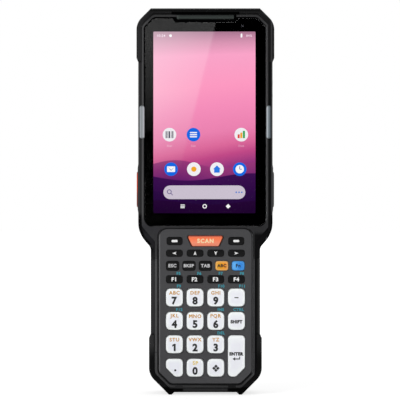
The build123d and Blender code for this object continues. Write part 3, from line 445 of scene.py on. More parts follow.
def side_shading(paint, tones):
    """Light and shade painted up each side: a place, its left and right tone, the next place."""
    rows = [row.split() for row in tones.split(",")]
    sides = [",".join(f"{row[0]} {row[side]}" for row in rows) for side in (1, 2)]
    blend = paint.past("X", -side_blend, side_blend)
    return paint.mix(blend, *(paint.ramp("Z", side) for side in sides))


def dull_where(paint, on_front, *masks):
    """Takes nearly all of the plain sheen away where a mask is 1 on the front."""
    dull = paint.math("MULTIPLY", paint.chain("MAXIMUM", *masks), on_front)
    paint.coat(Specular_IOR_Level=paint.line(dull, -0.11, 0.12))


# %% The case finish
case = painted("case_plastic", 3200, 16, 0.42, 0.12)
on_rim = case.behind(front_y, 0.25, 0.05)
on_slope = case.behind(front_y, 0.4, 0.65)
at_edge = case.behind(front_y, 0.9, 1.4)
on_front = case.behind(front_y, 5.4, 2.0)
# Painted shade: the face is darker on the right and dark at the shoulders.
face_shading = side_shading(
    case,
    "74 #242425 #0f0f10, 78 #131314 #0c0c0c, 86 #202022 #0a0a0b, 91 #242427 #101011, "
    "96 #0a0a0b #090909, 102 #0d0d0e #0b0b0b, 104 #222224 #121213, 214 #202021 #121213, "
    "216 #0e0e0f #0e0e0f",
)
# Painted highlight: the raised rims are lighter than the face.
rim_highlight = side_shading(
    case,
    "3 #282829 #282829, 6 #3c3c3d #343435, 22 #4a4a4b #525254, 76 #4c4c4d #525254, "
    "79 #343435 #2c2c2d, 86 #303031 #2a2a2b, 96 #2d2d30 #29292b, 99 #363638 #303031, "
    "103 #4a4a4b #3c3c3d, 212 #464647 #3a3a3b, 214.5 #323233 #303031",
)
# Painted shade: the slope round the edge falls to near black.
slope_shade = side_shading(
    case,
    "74 #1c1c1d #0b0b0c, 78 #0c0c0d #080809, 86 #050506 #030303, 101 #050506 #030303, "
    "104 #19191a #0c0c0d, 214 #19191a #0c0c0d",
)
# Painted shade at the shoulders' edge, with a paler edge above them.
edge_shade = side_shading(
    case,
    "78 #202021 #202021, 85 #050506 #050506, 101 #050506 #050506, 105 #323233 #464648",
)
low_down = case.where("Z 93 91")
# Painted shade: the sunk slope by the window is near black, a little lighter at the far left.
sunk = case.where("side 35.3 35.1, Z 83 85", on_slope)
groove_shade = case.over("#040405", "#141415", "X -33 -34")
fallen = case.mix(at_edge, slope_shade, edge_shade)
fallen = case.mix(sunk, fallen, groove_shade)
# Painted highlights: the lip by the neck, and on the right the key groove and the far wall.
fallen = case.over(fallen, "#4a4a4b", "Z 96.4 96.2, side 31.5 29", sunk)  # the lip by the neck
fallen = case.over(fallen, "#747476", "X 26.4 26.6, X 27.8 27.6", low_down)  # the key groove
fallen = case.over(fallen, "#6a6a6c", "X 34.3 34.6", sunk)  # the far wall
colour = case.mix(on_slope, case.mix(on_rim, face_shading, rim_highlight), fallen)
# Painted shade: on the right, the case is near black past each rim's crest.
right_rim_shade = case.chain("MAXIMUM", case.where("X 27.75 28.15", low_down), case.where("X 35.65 35.9"))
past_rim_shade = case.math("SUBTRACT", right_rim_shade, at_edge, clamp=True)
colour = case.mix(past_rim_shade, colour, "#111112")
# Painted shade: black in the recess over the receiver, and a black stripe 17 mm right of the middle,
# above 213 mm.
from_break = case.math("ABSOLUTE", case.math("SUBTRACT", case.at("X"), 17.0 * MM))
break_shade = case.where("Z 213 213.4", case.past(from_break, 0.85, 0.6))
shade_spots = case.chain("MAXIMUM", case.where("Z 216.55 216.7, " + brow_ends), break_shade)
colour = case.mix(shade_spots, colour, "#020202")
finishes["case_plastic"] = coloured(case, case.mix(on_front, "#2d2d2f", colour))
off_rim = case.math("SUBTRACT", case.where("Z 78 83, Z 104 102"), on_rim, clamp=True)
dull_where(case, on_front, off_rim, shade_spots, sunk, past_rim_shade)
print("case finish:", len(case.tree.nodes), "nodes")

# %% The bumpers' finish
bumper_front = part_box("top_bumper")[0].y
rubber = painted("bumper_rubber", 3500, 12, 0.45, 0.12)
# Painted light and shade up the bumper: lighter on the left, with a black line at 219 mm.
lip_shading = side_shading(
    rubber,
    "3 #161617 #161617, 8 #0d0d0e #0b0b0b, 22 #0f0f10 #0d0d0d, 29 #2a2a2b #161617, "
    "205 #232324 #0d0d0e, 215 #1a1a1b #0c0c0d, 218.7 #121213 #121213, 218.9 #030303 #030303, "
    "219.3 #040404 #040404, 219.8 #2a2a2b #262627",
)
# Painted shade: the rubber turns near black where it falls back from its front.
colour = rubber.mix(rubber.behind(bumper_front, 0.1, 0.4), lip_shading, "#0a0a0b")
fallen = rubber.behind(bumper_front, 0.3, 0.5)
# Painted shade: black in the recess over the receiver.
brow = rubber.where("Z 218.5 218.2, Z 216 216.5, " + brow_ends, fallen)
colour = rubber.mix(brow, colour, "#020202")
# Painted highlight: a pale line along the right inner lip.
colour = rubber.over(colour, "#333334", "X 37.2 37.45, X 38.2 37.9")  # the inner lip
# Painted highlight: a pale line across the bottom strap.
strap_highlight = rubber.ramp("Z", "2.2 #101011, 2.8 #262627, 3.2 #242425, 3.8 #0c0c0d")
colour = rubber.over(colour, strap_highlight, "Z 4.6 4.3, side 13.0 12.2")
# Painted shade: the feet are near black below 4.6 mm.
foot_shade = rubber.where("Z 4.6 4.2, side 12.4 13.0")
colour = rubber.mix(foot_shade, colour, "#040404")
on_front = rubber.behind(bumper_front, 5.6, 2.2)
finishes["bumper_rubber"] = coloured(rubber, rubber.mix(on_front, "#1f1f20", colour))
lower_dark = rubber.math("MULTIPLY", rubber.where("Z 27 21, side 17.4 17.9"), 0.8)
top_line = rubber.where("Z 218.7 218.9, Z 219.5 219.3")
dull_where(rubber, on_front, brow, lower_dark, top_line, foot_shade)
print("bumper finish:", len(rubber.tree.nodes), "nodes")

# %% Rails, trigger, reader glass and panel
rail = painted("rail_rubber", 3500, 12, 0.5, 0.1)
# Painted light and shade: the left rail is lighter, with dark ends; the right rail is near black,
# lighter towards its outer edge.
left_rail_shading = rail.ramp("Z", "10 #121213, 30 #262628, 76 #28282a, 78 #0c0c0d")
right_rail_shading = rail.ramp("X", "29.4 #040404, 30.0 #070708, 30.3 #303031, 31.2 #1e1e1f")
finishes["rail_rubber"] = coloured(rail, rail.over(left_rail_shading, right_rail_shading, "X -1 1"))

trigger = painted("trigger_orange", 5000, 4, 0.4, 0.15)
# Painted shade: the trigger is darker towards its lower and upper ends.
trigger_shading = "106.7 #762c1c, 114 #8e3420, 118 #d84218, 124.5 #dc4418, 127 #7c2a16"
finishes["trigger_orange"] = coloured(trigger, trigger.ramp("Z", trigger_shading))

reader = painted("reader_glass", 300, 1, 0.06, 0.5)
tint = reader.mix(reader.given["Tone"], "#1e0507", "#2a070a")
finishes["reader_glass"] = reader.coat(Base_Color=tint)

panel_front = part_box("keypad_panel")[0].y
panel = painted("panel_plastic", 4200, 9, 0.5, 0.15)
# Painted light: the panel's left edge is lighter than its face, and its other edges darker.
at_left = panel.where("X -25.5 -26.0")
broken = panel.chain("MAXIMUM", panel.behind(panel_front, 0.02, 0.08), at_left)
edge_highlight = panel.over(panel.mix(at_left, "#303031", "#6a6a6c"), "#424243", "X 26.0 26.4")
finishes["panel_plastic"] = coloured(panel, panel.mix(broken, "#464648", edge_highlight), 0.2)
print("panel face at", round(panel_front / MM, 2), "mm")

# %% The receiver bar and the light guides
receiver = painted("receiver_plastic", 5000, 4, 0.4, 0.15)
# Painted highlight: the bar is lighter across its middle height and at its left end.
bar_shading = receiver.ramp("Z", "214.2 #1c201e, 214.9 #333937, 215.6 #2c3230, 216.5 #222625")
colour = receiver.over(bar_shading, "#3e4341", "X -14.5 -16.2")
finishes["receiver_plastic"] = coloured(receiver, colour)

guide = painted("guide_plastic", 900, 3, 0.3, 0.3)
# Painted light and shade across each guide, as on a rounded lens lit from the left, and painted shade
# towards its ends.
left_guide_shading = (
    "-37.6 #6c7174, -37.2 #a4a9ad, -36.4 #8b9094, -35.6 #9fa4a8, -35.1 #b9bbc0, -34.8 #8c8a8e"
)
right_guide_shading = (
    "34.8 #868d93, 35.3 #bdc4ca, 35.8 #818a91, 36.6 #636c73, 37.1 #323a41, 37.6 #2a3238"
)
across_guides = [guide.ramp("X", tones) for tones in (left_guide_shading, right_guide_shading)]
low_end, high_end = (end.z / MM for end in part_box("led_guides"))
ends = guide.where(f"Z {low_end} {low_end + 1.0}, Z {high_end} {high_end - 1.0}")
away_from_end_shade = guide.line(ends, 0.55, 0.45)
colour = guide.mix(away_from_end_shade, "#26282a", guide.over(*across_guides, "X -1 1"))
finishes["guide_plastic"] = coloured(guide, colour, 0.08)
print("receiver and guides finished")

# %% Give each CAD piece its finish
slot_of = {row["node"]: row["material_slot"] for row in frame["record"]["subparts"]}
dressed = 0
for name, piece in nodes.items():
    if slot_of[name] in finishes:
        piece.data.materials.clear()
        piece.data.materials.append(finishes[slot_of[name]])
        dressed += 1
print("CAD pieces dressed:", dressed)

# %% [markdown]
# ## Key caps
# A key cap is a small dome with a soft edge. One way is a bevelled cube with subdivision, but
# then every corner depends on how the bevel falls. Here the cap is a stack of closed rings
# instead: the outline is known point by point, each ring is that outline drawn in by a
# little and lifted by a little, and the last rings shrink to the middle to make the crown.
# The legends can then ask the same formula how high the crown is under them.


# %% Outlines
def rounded_outline(corners, arc_steps=8, run_steps=6):
    """Points (N, 2) round a convex polygon and their outward normals.

    Corners are (x, z, radius), counter-clockwise. A corner's points are centre + radius *
    (cos a, sin a), with a running between its two sides' normals; a straight run between
    two arcs is divided evenly.
    """
    place = np.array([c[:2] for c in corners], float)
    radius = np.array([c[2] for c in corners], float)
    ahead = np.roll(place, -1, 0) - place
    ahead /= np.linalg.norm(ahead, axis=1, keepdims=True)
    out = np.stack([ahead[:, 1], -ahead[:, 0]], 1)
    out_before = np.roll(out, 1, 0)
    middle_way = (out + out_before) / (1 + (out * out_before).sum(1, keepdims=True))
    centre = place - middle_way * radius[:, None]
    start = np.arctan2(out_before[:, 1], out_before[:, 0])
    turn = (np.arctan2(out[:, 1], out[:, 0]) - start) % (2 * math.pi)
    angle = start[:, None] + turn[:, None] * np.linspace(0, 1, arc_steps)
    arc_out = np.stack([np.cos(angle), np.sin(angle)], 2)
    arc = centre[:, None] + arc_out * radius[:, None, None]
    share = np.linspace(0, 1, run_steps + 1, endpoint=False)[1:, None]
    run = arc[:, -1][:, None] * (1 - share) + np.roll(arc[:, 0], -1, 0)[:, None] * share
    run_out = np.repeat(out[:, None], run_steps, 1)
    points = np.concatenate([arc, run], 1).reshape(-1, 2)
    normals = np.concatenate([arc_out, run_out], 1).reshape(-1, 2)
    return points, normals


def rectangle(half_width, half_height, radius):
    """Corners of a rounded rectangle about the origin."""
    w, h = half_width, half_height
    return [(w, -h, radius), (w, h, radius), (-w, h, radius), (-w, -h, radius)]


def at_depth(flat, y):
    """Outline (N, 2) as points (N, 3) at one depth."""
    return np.column_stack([flat[:, 0], np.full(len(flat), y), flat[:, 1]])


print("a number key's outline has", len(rounded_outline(rectangle(4.8, 5.05, 2.2))[0]), "points")


# %% Rings into a closed piece
def finish_mesh(name, points, faces, finish, sharp=40):
    """Object from points (n, 3) in metres and faces, smooth up to an angle."""
    mesh = bpy.data.meshes.new(name)
    mesh.from_pydata(points.tolist(), [], faces)
    mesh.materials.append(finish)
    mesh.validate()
    mesh.shade_smooth()
    mesh.set_sharp_from_angle(angle=math.radians(sharp))
    return linked(name, mesh)


def band_quads(rings, around, closed=False):
    """Quads between rings whose point k of ring j has the number j * around + k.

    The order of the corners makes faces look outwards when the rings run towards -Y and the
    outline runs counter-clockwise as seen from the front. A closed band's last ring is tied
    to its first.
    """
    number = np.arange(rings * around).reshape(rings, around)
    above = np.roll(number, -1, 0)
    corners = [number, np.roll(number, -1, 1), np.roll(above, -1, 1), above]
    return np.stack(corners, 2)[: rings if closed else -1].reshape(-1, 4).tolist()


def ring_faces(rings, around):
    """A band's quads, and a fan of triangles round each end's pole. The poles come last."""
    k = np.arange(around)
    k_next = (k + 1) % around
    back_pole = np.full(around, rings * around)
    back = np.stack([k_next, k, back_pole], 1)
    last = (rings - 1) * around
    front = np.stack([last + k, last + k_next, back_pole + 1], 1)
    return band_quads(rings, around) + back.tolist() + front.tolist()


def ring_piece(name, rings, finish, sharp=40):
    """Closed piece from rings (R, N, 3), whose ends are closed at their middles."""
    rings = np.asarray(rings)
    poles = np.stack([rings[0].mean(0), rings[-1].mean(0)])
    points = np.concatenate([rings.reshape(-1, 3), poles])
    return finish_mesh(name, points, ring_faces(*rings.shape[:2]), finish, sharp)


# %% The cap formula
flange_grow = 0.5 * MM
flange_thick = 0.8 * MM
edge_round = 0.42 * MM
edge_steps = 5
crown_steps = 9
scan_lean = 2.8 * MM  # how much shorter the scan key's lower side is at each end
scan_radius = 0.9 * MM
cut_foot = 4.4 * MM  # what a cut corner leaves of a number key's shorter side
number_half = 5.05 * MM
cut_side = {"key_point": -1, "key_enter": 1}


def key_corners(node, half, radius):
    """Corners of a key's outline: a trapezoid, one with a cut lower corner, or a rectangle."""
    w, h = half
    if node == "key_scan":
        low = w - scan_lean
        return [(x, z, scan_radius) for x, z in ((-low, -h), (low, -h), (w, h), (-w, h))]
    if node not in cut_side:
        return rectangle(w, h, radius)
    cut = 2 * min(w, number_half) - cut_foot
    low = [(-w, -h), (w - cut, -h), (w, cut - h)]
    if cut_side[node] < 0:
        low = [(-x, z) for x, z in reversed(low)]
    return [(x, z, radius) for x, z in low + [(w, h), (-w, h)]]


def bowed(points, middle, half, bow):
    """Points whose sides bulge: each axis shrinks by bow times the other's share squared."""
    share = (points - middle) / half
    return middle + (points - middle) * (1 - bow * share[:, ::-1] ** 2)


class Cap:
    """A key cap's outline and its crown, which a legend can be laid on."""

    def __init__(self, node, radius, crown, bow):
        self.middle, half = face_of(node)
        half = half - flange_grow
        low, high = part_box(node)
        self.front, self.back = low.y, high.y
        corners = key_corners(node, half, radius)
        flat = [(x + self.middle[0], z + self.middle[1], r) for x, z, r in corners]
        points, self.normals = rounded_outline(flat)
        self.outline = bowed(points, self.middle, half, bow)
        self.crown = crown
        self.reach = self.outline - self.normals * edge_round - self.middle
        angle = np.arctan2(self.reach[:, 1], self.reach[:, 0])
        order = np.argsort(angle)
        self.angle, self.radius = angle[order], np.linalg.norm(self.reach, axis=1)[order]

    def surface(self, x, z):
        """Y of the crown: the front, plus crown * s squared, with s the share of the way out."""
        dx, dz = x - self.middle[0], z - self.middle[1]
        edge = np.interp(np.arctan2(dz, dx), self.angle, self.radius, period=2 * math.pi)
        share = np.clip(np.hypot(dx, dz) / edge, 0, 1)
        return self.front + self.crown * share**2

    def rings(self):
        """Rings from the flange's back, up the wall, round the edge and in to the middle."""
        wide = self.outline + self.normals * flange_grow
        shelf = self.back - flange_thick
        shoulder = self.front + self.crown + edge_round
        steps = [(wide, self.back), (wide, shelf), (self.outline, shelf), (self.outline, shoulder)]
        for turn in np.linspace(0, math.pi / 2, edge_steps + 1)[1:]:
            inset = edge_round * (1 - math.cos(turn))
            rise = edge_round * math.sin(turn)
            steps.append((self.outline - self.normals * inset, shoulder - rise))
        for share in np.linspace(1, 0, crown_steps)[1:-1]:
            steps.append((self.middle + self.reach * share, self.front + self.crown * share**2))
        return np.stack([at_depth(flat, y) for flat, y in steps])


print("cap formula ready")


# %% Key finishes and inks
def key_finish(name, axis, tones, key, crown_fall, edge_shading):
    """A glossy key colour that follows a ramp along one axis and turns where the crown falls.

    The edge colour takes over between a third and all of crown_fall mm behind the key's front.
    It is painted light and shade where the edge rounds off, darkest on the scan key.
    """
    paint = painted(name, 5000, 2, 0.36, 0.2)
    fallen = paint.behind(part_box(key)[0].y, crown_fall / 3, crown_fall)
    return coloured(paint, paint.mix(fallen, paint.ramp(axis, tones), edge_shading), 0.05)


# Painted shade on the scan key's top and a painted highlight low on it; the blue key is painted
# lighter on its left.
scan_shading = "85.0 #e8866a, 86.6 #f89070, 88.6 #ff7e52, 89.6 #f87a50, 90.3 #b85a46"
amber_tones = "4 #cf9e3c, 7 #e0a220, 10 #ee9a20, 12 #ee8e30"
blue_shading = "14 #8ccbfa, 17 #5cb0f6, 19.5 #2f8ae4, 22 #3a86d4"
key_rows = {
    "key_white": ("X", "-30 #f0f2fa, 30 #f2f3f9", "key_5", 0.28, "#fbffff"),
    "key_orange": ("Z", scan_shading, "key_scan", 0.7, "#8a3c20"),
    "key_amber": ("X", amber_tones, "key_alpha", 0.2, "#f0b468"),
    "key_blue": ("X", blue_shading, "key_function", 0.2, "#4a9ce6"),
}
finishes.update({name: key_finish(name, *row) for name, row in key_rows.items()})
soft_sheen = {"Specular_IOR_Level": 0.14}
finishes["key_dark"] = moulded("key_dark", "#0a0a0b", "#111112", 5000, 3, 0.45, **soft_sheen)


def faded(paint, code, scale, least):
    """A colour that a noise dims here and there, down to its least share."""
    colour = linear(code)
    return paint.mix(paint.noise(scale), [c * least for c in colour[:3]] + [1.0], colour)


def ink(name, code):
    """Printed ink: a plain colour worn very slightly thin, with a satin skin."""
    paint = material(name)
    return paint.coat(Base_Color=faded(paint, code, 5000.0, 0.88), Roughness=0.5)


ink_codes = {
    "black": "#0c0c10",
    "white": "#f4f4f4",
    "grey": "#c9c9cb",
    "orange": "#d0921c",
    "yellow": "#e8c62a",
    "cream": "#ffe6b4",
    "blue": "#2893a4",
}
inks = {name: ink("ink_" + name, code) for name, code in ink_codes.items()}
print("inks:", ", ".join(inks))

# %% Every key
white_shape = (2.2, 0.28, 0.045)  # corner radius and crown in mm, and how much the sides bulge
dark_shape = (1.3, 0.16, 0.02)
slots = {name: slot for name, slot in slot_of.items() if slot.startswith("key_")}
caps = {}
for name, slot in slots.items():
    radius, crown, bow = white_shape if slot == "key_white" else dark_shape
    if name == "key_scan" or name in cut_side:
        bow = 0.0
    caps[name] = Cap(name, radius * MM, crown * MM, bow)
    piece = ring_piece("cap_" + name[4:], caps[name].rings(), finishes[slot])
    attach(piece, name)
    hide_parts(name)
print("caps:", len(caps))

# %% [markdown]
# ## Legends
# The legends are pad-printed: a thin skin of ink that follows the crown. A shader could paint
# them, but letters have sharp outlines, and those come straight from a font as flat meshes.
# Each letter gets a thickness of a few hundredths of a millimetre, and each of its points is
# then laid on the crown with the cap's own formula. Outlines are drawn in millimetres.

# %% Ink on a surface
ink_lift = 0.03 * MM
ink_step = 0.8 * MM  # the ink is cut up this finely, so that it can bend
cap_share = 0.73  # a capital's height in this font, when the size is 1


def cut_up(mesh, step):
    """Cuts a flat mesh along a square grid of planes."""
    solid = bmesh.new()
    solid.from_mesh(mesh)
    for axis, across in enumerate(((1, 0, 0), (0, 1, 0))):
        ends = [v.co[axis] for v in solid.verts]
        for place in np.arange(math.ceil(min(ends) / step), max(ends) / step) * step:
            whole = solid.verts[:] + solid.edges[:] + solid.faces[:]
            spot = [place * part for part in across]
            bmesh.ops.bisect_plane(solid, geom=whole, plane_co=spot, plane_no=across, dist=1e-7)
    solid.to_mesh(mesh)
    solid.free()


def points_of(mesh):
    """A mesh's points (n, 3)."""
    co = np.empty(len(mesh.vertices) * 3, np.float32)
    mesh.vertices.foreach_get("co", co)
    return co.reshape(-1, 3)


def level_at(y):
    """A flat surface that faces -Y, for lay_on."""
    return lambda x, z: y


def lay_on(mesh, across, up, surface, lift=ink_lift):
    """Places a flat X-Y mesh at (across, up), its face lifted off surface and its back in it."""
    co = points_of(mesh).astype(float)
    x, z = co[:, 0] + across, co[:, 1] + up
    proud = np.where(co[:, 2] > 0, lift, -lift)
    laid = np.column_stack([x, surface(x, z) - proud, z])
    mesh.vertices.foreach_set("co", laid.astype(np.float32).ravel())
    mesh.update()


def printed(name, mesh, finish, body):
    """Links a laid mesh as a piece that rides on its body."""
    mesh.name = name
    mesh.materials.clear()
    mesh.materials.append(finish)
    made = linked(name, mesh)
    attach(made, body)


def lettering(words, height, bold, spread=1.0):
    """Mesh of a line of letters about the origin, its capitals height mm tall."""
    curve = bpy.data.curves.new("letters", "FONT")
    curve.body = words
    curve.align_x = "CENTER"
    curve.align_y = "CENTER"
    curve.size = height * MM / cap_share
    curve.offset = bold * MM
    curve.extrude = ink_lift
    curve.space_character = spread
    curve.resolution_u = 3
    maker = linked("letters", curve)
    bpy.context.view_layer.update()
    mesh = bpy.data.meshes.new_from_object(maker)
    bpy.data.objects.remove(maker)
    bpy.data.curves.remove(curve)
    co = points_of(mesh)
    co[:, :2] -= (co[:, :2].min(0) + co[:, :2].max(0)) / 2
    mesh.vertices.foreach_set("co", co.ravel())
    return mesh


def shapes_mesh(outlines):
    """Mesh of flat shapes with a thickness: each outline (N, 2) in mm becomes a closed prism."""
    points, faces = [], []
    for flat in outlines:
        count, base = len(flat), sum(len(p) for p in points)
        for side in (ink_lift, -ink_lift):
            points.append(np.column_stack([flat * MM, np.full(count, side)]))
        k = np.arange(count)
        k_next = (k + 1) % count
        faces.append((base + k).tolist())
        faces.append((base + count + k[::-1]).tolist())
        walls = np.stack([k, k + count, k_next + count, k_next], 1) + base
        faces.extend(walls.tolist())
    mesh = bpy.data.meshes.new("shapes")
    mesh.from_pydata(np.concatenate(points).tolist(), [], faces)
    mesh.validate()
    return mesh


print("ink helpers ready")

# %% Numbers and letters
digit_height, digit_bold, digit_drop = 4.15, 0.27, -1.75
letter_height, letter_bold, letter_rise = 2.05, 0.08, 2.75
letter_spread, word_spread, scan_spread = 1.2, 1.12, 1.25
one_outline = np.array(
    [(0.75, -2.1), (0.75, 2.1), (-0.2, 2.1), (-1.2, 1.45), (-1.2, 0.5), (-0.35, 0.95), (-0.35, -2.1)]
)
m_top = np.array([(1.05, 1.02), (0.43, 1.02), (0.0, 0.3)])  # the top of the M's right half
m_foot = np.array([(0.0, -0.56), (0.57, 0.36), (0.57, -1.02), (1.05, -1.02)])
m_outline = np.concatenate([m_foot, m_top, (m_top * (-1, 1))[1::-1], (m_foot * (-1, 1))[:0:-1]])
m_across, rest_across = -2.42, 1.27  # how far the M and its neighbours stand aside
groups = "ABC DEF GHI JKL MNO PQR STU VWX YZ SP".split()
# A key, its words, their ink, capital height, x and z from the key's middle, and boldness
word_legends = """
scan SCAN cream 2.3 0 0.1 0.14
escape ESC grey 1.9 -0.1 0.1 0.1
backspace BKSP grey 1.8 -0.1 0.1 0.1
tab TAB grey 1.9 0 0.1 0.1
alpha ABC black 1.8 0 0.1 0.12
function Fn black 2.0 0 0.1 0.1
f1 F1 white 2.3 -0.3 0 0.13
f2 F2 white 2.3 -0.3 0 0.13
f3 F3 white 2.3 -0.1 0 0.13
f4 F4 white 2.3 0 0 0.13
shift SHIFT black 1.75 0 -0.4 0.17
enter ENTER black 1.75 0 1.3 0.17
"""


def put_legend(key, name, mesh, tint, across, up):
    """Lays ink on one key, across and up mm from its middle."""
    cap = caps["key_" + key]
    cut_up(mesh, ink_step)
    lay_on(mesh, cap.middle[0] + across * MM, cap.middle[1] + up * MM, cap.surface)
    printed(name, mesh, inks[tint], "key_" + key)


for digit, letters in zip("7894561230", groups):
    tint, across = ("yellow", 0.2) if digit == "0" else ("orange", 0.0)
    if digit == "1":  # this font's own 1 is a bare bar
        mesh = shapes_mesh([one_outline])
    else:
        mesh = lettering(digit, digit_height, digit_bold)
    put_legend(digit, "digit_" + digit, mesh, "black", 0.0, digit_drop)
    if letters.startswith("M"):  # this font's M has a double point and can't be thickened
        put_legend(digit, "letter_m", shapes_mesh([m_outline]), tint, m_across, letter_rise)
        letters, across = letters[1:], rest_across
    mesh = lettering(letters, letter_height, letter_bold, letter_spread)
    put_legend(digit, "letters_" + digit, mesh, tint, across, letter_rise)
for row in word_legends.strip().split("\n"):
    key, words, tint, *measures = row.split()
    height, across, up, bold = map(float, measures)
    mesh = lettering(words, height, bold, scan_spread if key == "scan" else word_spread)
    put_legend(key, "legend_" + key, mesh, tint, across, up)
print("letter groups laid:", len(groups))


# %% Marks
def disc(x, z, radius, parts=40):
    """Circle's outline: middle + radius * (cos a, sin a)."""
    turns = np.linspace(0, 2 * math.pi, parts, endpoint=False)
    return np.column_stack([x + radius * np.cos(turns), z + radius * np.sin(turns)])


def bar(x, z, half_width, half_height, radius=0.05):
    """Rounded bar's outline."""
    return rounded_outline(rectangle(half_width, half_height, radius), 6, 1)[0] + (x, z)


def turned(flat, degrees):
    """An outline turned about the origin."""
    a = math.radians(degrees)
    return flat @ np.array([[math.cos(a), math.sin(a)], [-math.sin(a), math.cos(a)]])


arrowhead = np.array([(1.2, 0.0), (-1.2, 0.85), (-0.6, 0.0), (-1.2, -0.85)])
diamond = turned(bar(0, 0, 0.7, 0.7), 45)
diamond_step = 1.14
return_arrow = [
    np.array([(-2.2, 0.0), (-0.8, -0.95), (-0.8, 0.95)]),
    bar(0.55, 0, 1.45, 0.3, 0.01),
    bar(1.8, 0.75, 0.26, 0.6, 0.01),
]
marks = {
    "minus": ([bar(0, 0, 1.15, 0.28, 0.1)], "black", 0.0, 0.0),
    "point": ([disc(0, 0, 0.6)], "black", 0.5, -1.4),
    "enter": (return_arrow, "black", 0.0, -1.6),
}
ways = ((1, 0), (0, 1), (-1, 0), (0, -1))
diamonds = [diamond + (x * diamond_step, z * diamond_step) for x, z in ways]
marks["symbol"] = (diamonds, "black", 0.1, -0.2)
for quarter, way in enumerate(("right", "up", "left", "down")):
    marks["arrow_" + way] = ([turned(arrowhead, 90 * quarter)], "white", 0.0, 0.0)
for side in ("left", "right"):
    marks["soft_" + side] = ([bar(0, 0, 1.75, 0.66, 0.65)], "white", 0.0, 0.0)
for key, (outlines, tint, across, up) in marks.items():
    put_legend(key, "mark_" + key, shapes_mesh(outlines), tint, across, up)
print("marks laid:", len(marks))

# %% Blue legends on the panel
panel_words = {  # mm over a key's middle: the key, its words and how far right they stand
    3.35: "f1 F5 2.4, f2 F6 2.4, f3 F7 2.9, f4 F8 3.2",
    6.5: "7 F9 2.6, 9 F10 3.2, minus F11 3.2, 4 F12 2.8, 6 INS 2.9, shift CTRL 1.2, 3 DEL 3.1",
}
for up, row in panel_words.items():
    for entry in row.split(","):
        key, words, across = entry.split()
        x, z = caps["key_" + key].middle + np.array([float(across), up]) * MM
        mesh = lettering(words, 1.65, 0.09, 1.15)
        lay_on(mesh, x, z, level_at(panel_front), 0.02 * MM)
        printed("panel_legend_" + key, mesh, inks["blue"], "terminal")
print("rows of panel legends:", len(panel_words))

# %% [markdown]
# ## The window and the lit screen
# The front glass is one sheet. Behind it lies a black print with an opening for the screen,
# and behind that the panel glows. Each layer is built as it is in the real thing, a few
# hundredths of a millimetre apart, because then the glass mirrors the studio over all of
# them alike and the print's edge throws a true line round the picture.


# %% Window outline as seen from its middle
def from_middle(flat, middle, angle):
    """Points where rays from middle at each angle leave a closed outline (N, 2).

    A ray middle + t * d meets the side a + s * e where t = cross(a - middle, e) /
    cross(d, e); the least positive t with s between 0 and 1 is taken.
    """
    a = flat - middle
    e = np.roll(flat, -1, 0) - flat
    d = np.column_stack([np.cos(angle), np.sin(angle)])
    cross = d[:, None, 0] * e[None, :, 1] - d[:, None, 1] * e[None, :, 0]
    with np.errstate(divide="ignore", invalid="ignore"):
        t = (a[:, 0] * e[:, 1] - a[:, 1] * e[:, 0])[None] / cross
        s = (a[None, :, 0] * d[:, None, 1] - a[None, :, 1] * d[:, None, 0]) / cross
    t[~((s > -1e-9) & (s < 1 + 1e-9) & (t > 0))] = np.inf
    return middle + d * t.min(1)[:, None]


low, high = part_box("touch_window")
glass_front, glass_back = low.y, high.y - 0.1 * MM
window_middle, (half_width, half_height) = face_of("touch_window")
notch_half, notch_depth = 17.5 * MM, 2.3 * MM
corner_cut, cut_round, low_round = 5.2 * MM, 2.5 * MM, 5.0 * MM
right_corners = [
    (half_width, -half_height, low_round),
    (half_width, half_height - corner_cut, cut_round),
    (half_width - corner_cut, half_height, cut_round),
]
left_corners = [(-x, z, turn) for x, z, turn in reversed(right_corners)]
sheet = rounded_outline(right_corners + left_corners, 12, 10)[0]
lean = notch_depth / 2
mouth = [(notch_half + lean, half_height), (notch_half, half_height - notch_depth)]
mouth = np.array(mouth + [(-x, z) for x, z in reversed(mouth)])
above = (np.abs(sheet[:, 1] - half_height) < 1e-9) & (np.abs(sheet[:, 0]) < notch_half + lean)
first = int(np.argmax(above))
around_sheet = np.roll(sheet, -first, 0)[~np.roll(above, -first)]
window_flat = np.concatenate([mouth, around_sheet]) + window_middle
print("window outline:", len(window_flat), "points")

# %% Glass and print
screen_half = 29.15 * MM
screen_low, screen_high = 103.45 * MM, 207.15 * MM
screen_across = -0.55 * MM  # the lit area stands a little left of the window's middle
screen_middle = np.array([screen_across, (screen_low + screen_high) / 2])
print_inset = 0.25 * MM
glass_edge = 0.2 * MM
rays = 720

glass_paint = material("window_glass")
smudge = glass_paint.share(glass_paint.noise(60.0), 0.45, 0.75, 0.0, 0.02)
glass_paint.coat(Base_Color=white, Transmission_Weight=1.0, IOR=1.45, Roughness=smudge)

black = material("window_black")
tone = black.mix(place_grain(black, 9000, 1)["Tone"], "#010101", "#020203")
# Painted light: the border's far left is a little lighter than black.
tone = black.mix(black.past("X", -20, -27), tone, "#0d0d0d")
black.coat(Base_Color=tone, Roughness=0.6, Specular_IOR_Level=0.0)


def loops_piece(name, loops, finish, sharp=30):
    """Closed band from loops (L, N, 3) that follow one another, the last back to the first."""
    loops = np.asarray(loops)
    quads = band_quads(*loops.shape[:2], closed=True)
    return finish_mesh(name, loops.reshape(-1, 3), quads, finish, sharp)


